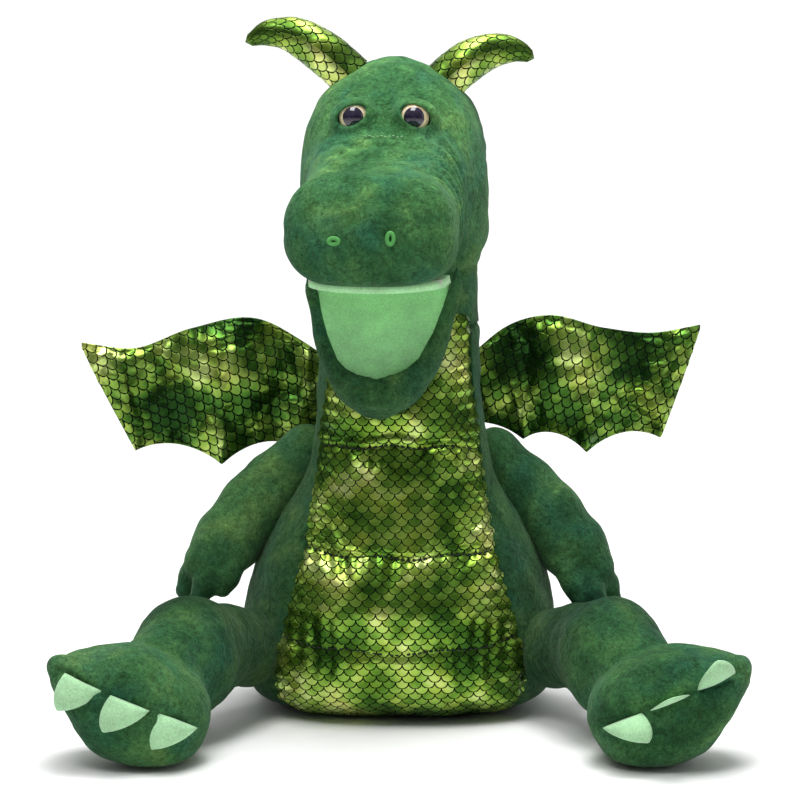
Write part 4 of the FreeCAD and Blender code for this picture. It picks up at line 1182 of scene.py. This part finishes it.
# ---------------------------------------------------------------- horns
def make_horn(side, sign):
    low, high = box_mm("horn_%s_cover" % side)
    apex = high[2]
    root_x = high[0] if sign < 0 else low[0]
    tip_x = low[0] if sign < 0 else high[0]
    span = tip_x - root_x
    table = [(0.0, 0.0, -44, 16.5), (0.22, 0.21, -29, 16.0), (0.45, 0.42, -17.5, 14.8),
             (0.68, 0.64, -11.5, 12.0), (0.88, 0.84, -12.5, 8.2), (1.0, 0.955, -16.5, 4.6)]
    rows = 110
    columns = 56
    t = np.linspace(0.0, 1.0, rows)
    reach, rise, radius = along(table, t)
    centre = np.stack([root_x + sign * 2.0 + span * reach, 3 * t - 7.0, apex + rise], 1)
    tangent = np.gradient(centre, axis=0)
    tangent /= np.linalg.norm(tangent, axis=1)[:, None]
    depth = np.array([0.0, 1.0, 0.0])
    up = np.cross(tangent, depth) * -sign
    up /= np.linalg.norm(up, axis=1)[:, None]
    turn = np.linspace(0, 2 * math.pi, columns, endpoint=False)
    points = (centre[:, None, :] + radius[:, None, None] * (
        np.sin(turn)[None, :, None] * up[:, None, :] - np.cos(turn)[None, :, None] * depth))
    wrinkle = noise(points.reshape(-1, 3), 11.0, 12).reshape(rows, columns) * 0.7
    outward = points - centre[:, None, :]
    outward /= np.linalg.norm(outward, axis=2)[..., None]
    points = points + outward * wrinkle[..., None]
    length = np.concatenate([[0], np.cumsum(np.linalg.norm(np.diff(centre, axis=0), axis=1))])
    around = (turn - math.pi) * HORN_GIRTH
    around_step = 2 * math.pi / columns * HORN_GIRTH
    root = centre[0]
    tip = centre[-1] + tangent[-1] * radius[-1] * 0.8
    flat = np.concatenate([points.reshape(-1, 3), [root, tip]])
    faces = []
    uv_of = []

    def add(face, corners):
        """One face with its places on the cloth, turned over on the left."""
        faces.append(face if sign > 0 else face[::-1])
        uv_of.extend(corners if sign > 0 else corners[::-1])

    for i in range(rows - 1):
        for j in range(columns):
            k = (j + 1) % columns
            u0 = around[j]
            u1 = u0 + around_step
            add((i * columns + j, i * columns + k, (i + 1) * columns + k, (i + 1) * columns + j),
                [(u0, length[i]), (u1, length[i]), (u1, length[i + 1]), (u0, length[i + 1])])
    first = (rows - 1) * columns
    last = rows * columns
    for j in range(columns):
        k = (j + 1) % columns
        u0 = around[j]
        u1 = u0 + around_step
        add((j, last, k), [(u0, 0), ((u0 + u1) / 2, -8), (u1, 0)])
        add((first + j, first + k, last + 1),
            [(u0, length[-1]), (u1, length[-1]), ((u0 + u1) / 2, length[-1] + 5)])
    piece = mesh_object("horn_%s_foil" % side, flat, faces, HORN_FOIL)
    layer = piece.data.uv_layers.new(name="cloth")
    layer.data.foreach_set("uv", (np.array(uv_of) * MM).astype(np.float32).ravel())
    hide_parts("horn_%s_cover" % side, "horn_%s_filling" % side)
    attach(piece, "head")
    return piece


# ---------------------------------------------------------------- wings
WING_SHAPES = {
    # upper edge as shares of the wing's span and height from root to tip, then the lower points
    "left": {"top": [(0.0, 0.72), (0.11, 0.845), (0.28, 0.995), (0.56, 0.93), (0.79, 0.79),
                     (1.0, 0.835)],
             "points": [(1.0, 0.80), (0.79, 0.085), (0.435, 0.0), (0.12, 0.10), (0.045, 0.21)]},
    "right": {"top": [(0.0, 0.72), (0.14, 0.905), (0.33, 1.0), (0.58, 0.905), (0.79, 0.865),
                      (1.0, 0.93)],
              "points": [(1.0, 0.90), (0.835, 0.10), (0.505, 0.0), (0.225, 0.095), (0.065, 0.21)]},
}


def wing_border(shape, count):
    """Points of the wing's edge: upper edge from root to tip, and the lower edge beside it."""
    top = along([(s, z) for s, z in shape["top"]], np.linspace(0, 1, count))[0]
    lower_s = []
    lower_z = []
    corners = shape["points"]
    rises = [-0.02, 0.085, 0.095, 0.02]
    for (s0, z0), (s1, z1), rise in zip(corners, corners[1:], rises):
        for t in np.linspace(0, 1, 24, endpoint=False):
            lower_s.append(s0 + (s1 - s0) * t)
            lower_z.append(z0 + (z1 - z0) * t + rise * 4 * t * (1 - t))
    lower_s.append(0.0)
    lower_z.append(corners[-1][1] + 0.02)
    order = np.argsort(lower_s)
    return top, np.array(lower_s)[order], np.array(lower_z)[order]


def make_wing(side, sign):
    low, high = box_mm("wing_%s_front" % side, "wing_%s_back" % side)
    shape = WING_SHAPES[side]
    root_x = high[0] if sign < 0 else low[0]
    span = (high[0] - low[0]) * sign
    height = high[2] - low[2]
    rows = 64
    columns = 120
    top, lower_s, lower_z = wing_border(shape, columns)
    s_line = np.linspace(0, 1, columns)
    bottom = np.interp(s_line, lower_s, lower_z)
    s, v = np.meshgrid(s_line, np.linspace(0, 1, rows))
    z = bottom[None, :] + (top - bottom)[None, :] * v
    x = root_x + span * s.ravel() - sign * 5.0 * (1 - s.ravel())
    height_z = low[2] + height * z.ravel()
    middle = (low[1] + high[1]) / 2
    edge = np.minimum.reduce([v.ravel(), 1 - v.ravel(), (1 - s.ravel()) * 2.4])
    puff = 0.6 + 3.6 * smoothstep(0.0, 0.14, edge)
    ridge = np.zeros_like(puff)
    for (ps, pz), lean in zip(shape["points"][1:4], (0.10, 0.02, -0.06)):
        line = s.ravel() - (ps + lean * (z.ravel() - pz))
        strength = np.exp(-(line / 0.030) ** 2) * (1 - smoothstep(0.55, 0.95, z.ravel()))
        ridge += 3.4 * strength
    wave = 5.0 * np.sin(s.ravel() * 9.0 + 1.2) * smoothstep(0.05, 0.4, s.ravel())
    place = np.stack([x, np.zeros_like(x), height_z], 1)
    wrinkle = noise(place, 20.0, 21) * 1.3 + noise(place, 9.0, 22) * 0.6
    wrinkle *= smoothstep(0.0, 0.08, edge)
    y_front = middle + wave - puff - ridge - wrinkle
    y_back = middle + wave + puff + ridge * 0.6 - wrinkle
    front = np.stack([x, y_front, height_z], 1)
    back = np.stack([x, y_back, height_z], 1)
    uv = np.stack([x, height_z], 1)
    points, faces = closed_grid(front, back, rows, columns)
    if sign < 0:
        faces = [face[::-1] for face in faces]
    sewn = (edge < 0.02) | (ridge > 3.2)
    points = billow(points, faces, np.concatenate([sewn, sewn]), 5.0, 5.0, 0.03)
    piece = mesh_object("wing_%s_foil" % side, points, faces, WING_FOIL[side],
                        np.concatenate([uv, uv + 3.0]))
    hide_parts("wing_%s_front" % side, "wing_%s_wadding" % side, "wing_%s_back" % side)
    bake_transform(piece)
    return piece


# ---------------------------------------------------------------- eyes, nostrils, stitches
def front_of_head(x, z):
    """y of the head's front surface, in the head's own frame."""
    return front_of(lambda q: head_field(from_head(q)), x, z, -200.0, -20.0)


def make_nostrils():
    """Bright stitched rings: the left one lies down, the right one stands."""
    low, high = box_mm("nostril_loops")
    nostril_z = (low[2] + high[2]) / 2
    turn = np.linspace(0, 2 * math.pi, 40, endpoint=False)
    paths = []
    for x, z, half_x, half_z in ((-20.5, nostril_z - 1, 3.4, 2.0), (18.5, nostril_z + 1, 2.2, 3.8)):
        px = x + half_x * np.cos(turn)
        pz = z + half_z * np.sin(turn)
        paths.append(np.stack([px, front_of_head(px, pz) - 1.4, pz], 1))
    points, faces = threads(paths, 1.5, True, 8)
    piece = mesh_object("nostril_rings", from_head(points), faces, THREAD)
    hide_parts("nostril_loops")
    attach(piece, "head")
    return piece


def make_brow_stitches():
    """A row of dashes across the forehead, above the bridge."""
    paths = []
    for k in range(10):
        x = -13.5 + 29.0 * (k + 0.5) / 10
        px = np.linspace(x - 1.05, x + 1.05, 6)
        pz = np.full(6, EYE_Z - 13.5) + 0.5 * math.sin(k * 2.1)
        paths.append(np.stack([px, front_of_head(px, pz) - 1.2, pz], 1))
    points, faces = threads(paths, 0.5)
    piece = mesh_object("brow_stitches", from_head(points), faces, PALE_THREAD)
    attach(piece, "head")
    return piece


def glossy_material(name, noise_settings, stops, rough, coat_rough):
    """Domed plastic under a clear coat."""
    n = Nodes(name)
    colour = n.ramp(n.noise(n.add("TexCoord").outputs["Object"], *noise_settings), stops)
    return n.finish(colour, roughness=rough, coat_weight=1.0, coat_roughness=coat_rough)


def dress_cad_nodes():
    eye = glossy_material("eye_amber", (900.0, 2.0, 0.6, 0.5),
                          [(0.35, srgb(238, 204, 132)), (0.65, srgb(255, 248, 226))], 0.12, 0.03)
    pupil = glossy_material("pupil_gloss", (260.0, 1.0),
                            [(0.3, srgb(24, 18, 40)), (0.7, srgb(46, 36, 62))], 0.06, 0.02)
    board = plain_material("mouth_board", 206, 202, 188, 0.5, 200.0)
    washer = plain_material("washer_plastic", 220, 220, 218, 0.4, 150.0)
    beans = plain_material("bean_bag_cotton", 200, 196, 178, 0.9, 500.0)
    wear = {
        "hand_sleeve_body": LINING, "hand_sleeve_neck": LINING, "finger_pocket": LINING,
        "thumb_pocket": LINING, "entry_binding": LINING, "upper_mouth_board": board,
        "jaw_board": board, "eye_washers": washer, "bean_bag": beans, "eye_left": eye,
        "eye_right": eye, "pupil_left": pupil, "pupil_right": pupil,
    }
    for node, material in wear.items():
        solid = frame["nodes"][node]
        if not solid.data.materials:
            solid.data.materials.append(material)
        for slot in solid.material_slots:
            slot.material = material


make_body()
make_head()
make_belly()
make_belly_stitches()
make_jaw()
make_mouth_lining()
for each_side, each_sign in (("left", -1), ("right", 1)):
    make_arm(each_side, each_sign)
    make_leg(each_side, each_sign)
    make_claws(each_side, each_sign)
    make_horn(each_side, each_sign)
    make_wing(each_side, each_sign)
make_tail()
make_nostrils()
make_brow_stitches()
dress_cad_nodes()


# ---------------------------------------------------------------- studio
FLOOR_FRONT = -9.0              # the floor's front edge and half width, in metres
FLOOR_HALF = 9.0
CURVE_Y = 1.2                   # where the floor starts to curve up, and the curve's radius
CURVE_RADIUS = 1.2
CURVE_STEPS = 12
BACKDROP_HEIGHT = 5.0
SKY = ((0.0, 0.10), (0.9, 1.0))     # grey of the surroundings from level to overhead
SKY_STRENGTH = 0.42
# name, place, what it shines at, size in metres, power in watts
LIGHTS = (("key", (-0.5, -1.1, 2.1), (0, 0, 0.22), 0.9, 20.0),
          ("fill", (1.6, -1.2, 0.8), (0, 0, 0.22), 1.0, 2.0),
          ("top", (0.15, -0.25, 2.3), (0, 0, 0.22), 1.0, 40.0),
          ("backdrop_light", (0, 0.9, 2.6), (0, 2.4, 0.6), 2.4, 36.0))
CAMERA_DISTANCE = 2.0
CAMERA_TILT = math.radians(7.0)
CAMERA_AIM = (0.0, 0.0, 0.230)
LENS = 120.0
SENSOR_WIDTH = 36.0


def put(obj, place, target):
    """Places a lamp or the camera and turns it to its target."""
    obj.location = place
    obj.rotation_euler = (Vector(target) - obj.location).to_track_quat("-Z", "Y").to_euler()
    bpy.context.scene.collection.objects.link(obj)


def make_backdrop():
    """A pale floor that curves up into the backdrop."""
    rows = [(FLOOR_FRONT, 0.0), (CURVE_Y, 0.0)]
    for k in range(1, CURVE_STEPS + 1):
        turn = math.pi / 2 * k / CURVE_STEPS
        rows.append((CURVE_Y + CURVE_RADIUS * math.sin(turn),
                     CURVE_RADIUS - CURVE_RADIUS * math.cos(turn)))
    rows.append((CURVE_Y + CURVE_RADIUS, BACKDROP_HEIGHT))
    points = [(x, y, z) for y, z in rows for x in (-FLOOR_HALF, FLOOR_HALF)]
    faces = [(2 * i, 2 * i + 1, 2 * i + 3, 2 * i + 2) for i in range(len(rows) - 1)]
    mesh = bpy.data.meshes.new("backdrop")
    mesh.from_pydata(points, [], faces)
    floor = Nodes("backdrop_paper")
    grain = floor.noise(floor.add("TexCoord").outputs["Object"], 30.0, 2.0)
    shade = floor.ramp(grain, [(0.0, (0.86, 0.86, 0.86)), (1.0, (0.9, 0.9, 0.9))])
    floor.finish(shade, roughness=0.9)
    mesh.materials.append(floor.material)
    backdrop = bpy.data.objects.new("backdrop", mesh)
    bpy.context.scene.collection.objects.link(backdrop)


def make_sky():
    """Surroundings that are darker near the horizon, so that the sides fall into shade."""
    world = bpy.data.worlds.new("studio")
    bpy.context.scene.world = world
    world.use_nodes = True
    tree = world.node_tree
    sky = tree.nodes.new("ShaderNodeTexCoord")
    split = tree.nodes.new("ShaderNodeSeparateXYZ")
    tree.links.new(sky.outputs["Generated"], split.inputs[0])
    ramp = tree.nodes.new("ShaderNodeValToRGB")
    for element, (place, grey) in zip(ramp.color_ramp.elements, SKY):
        element.position = place
        element.color = (grey, grey, grey, 1.0)
    tree.links.new(split.outputs[2], ramp.inputs[0])
    tree.links.new(ramp.outputs[0], tree.nodes["Background"].inputs["Color"])
    tree.nodes["Background"].inputs["Strength"].default_value = SKY_STRENGTH


def make_studio():
    """The backdrop, the sky, soft lights and the camera."""
    make_backdrop()
    make_sky()
    for name, place, target, size, power in LIGHTS:
        light = bpy.data.lights.new(name, "AREA")
        light.energy = power
        light.size = size
        put(bpy.data.objects.new(name, light), place, target)
    lens = bpy.data.cameras.new("camera")
    lens.sensor_width = SENSOR_WIDTH
    lens.lens = LENS
    camera = bpy.data.objects.new("camera", lens)
    back = Vector((0, -CAMERA_DISTANCE * math.cos(CAMERA_TILT),
                   CAMERA_DISTANCE * math.sin(CAMERA_TILT)))
    put(camera, Vector(CAMERA_AIM) + back, CAMERA_AIM)
    bpy.context.scene.camera = camera
    bpy.context.scene.view_settings.view_transform = "Standard"


make_studio()
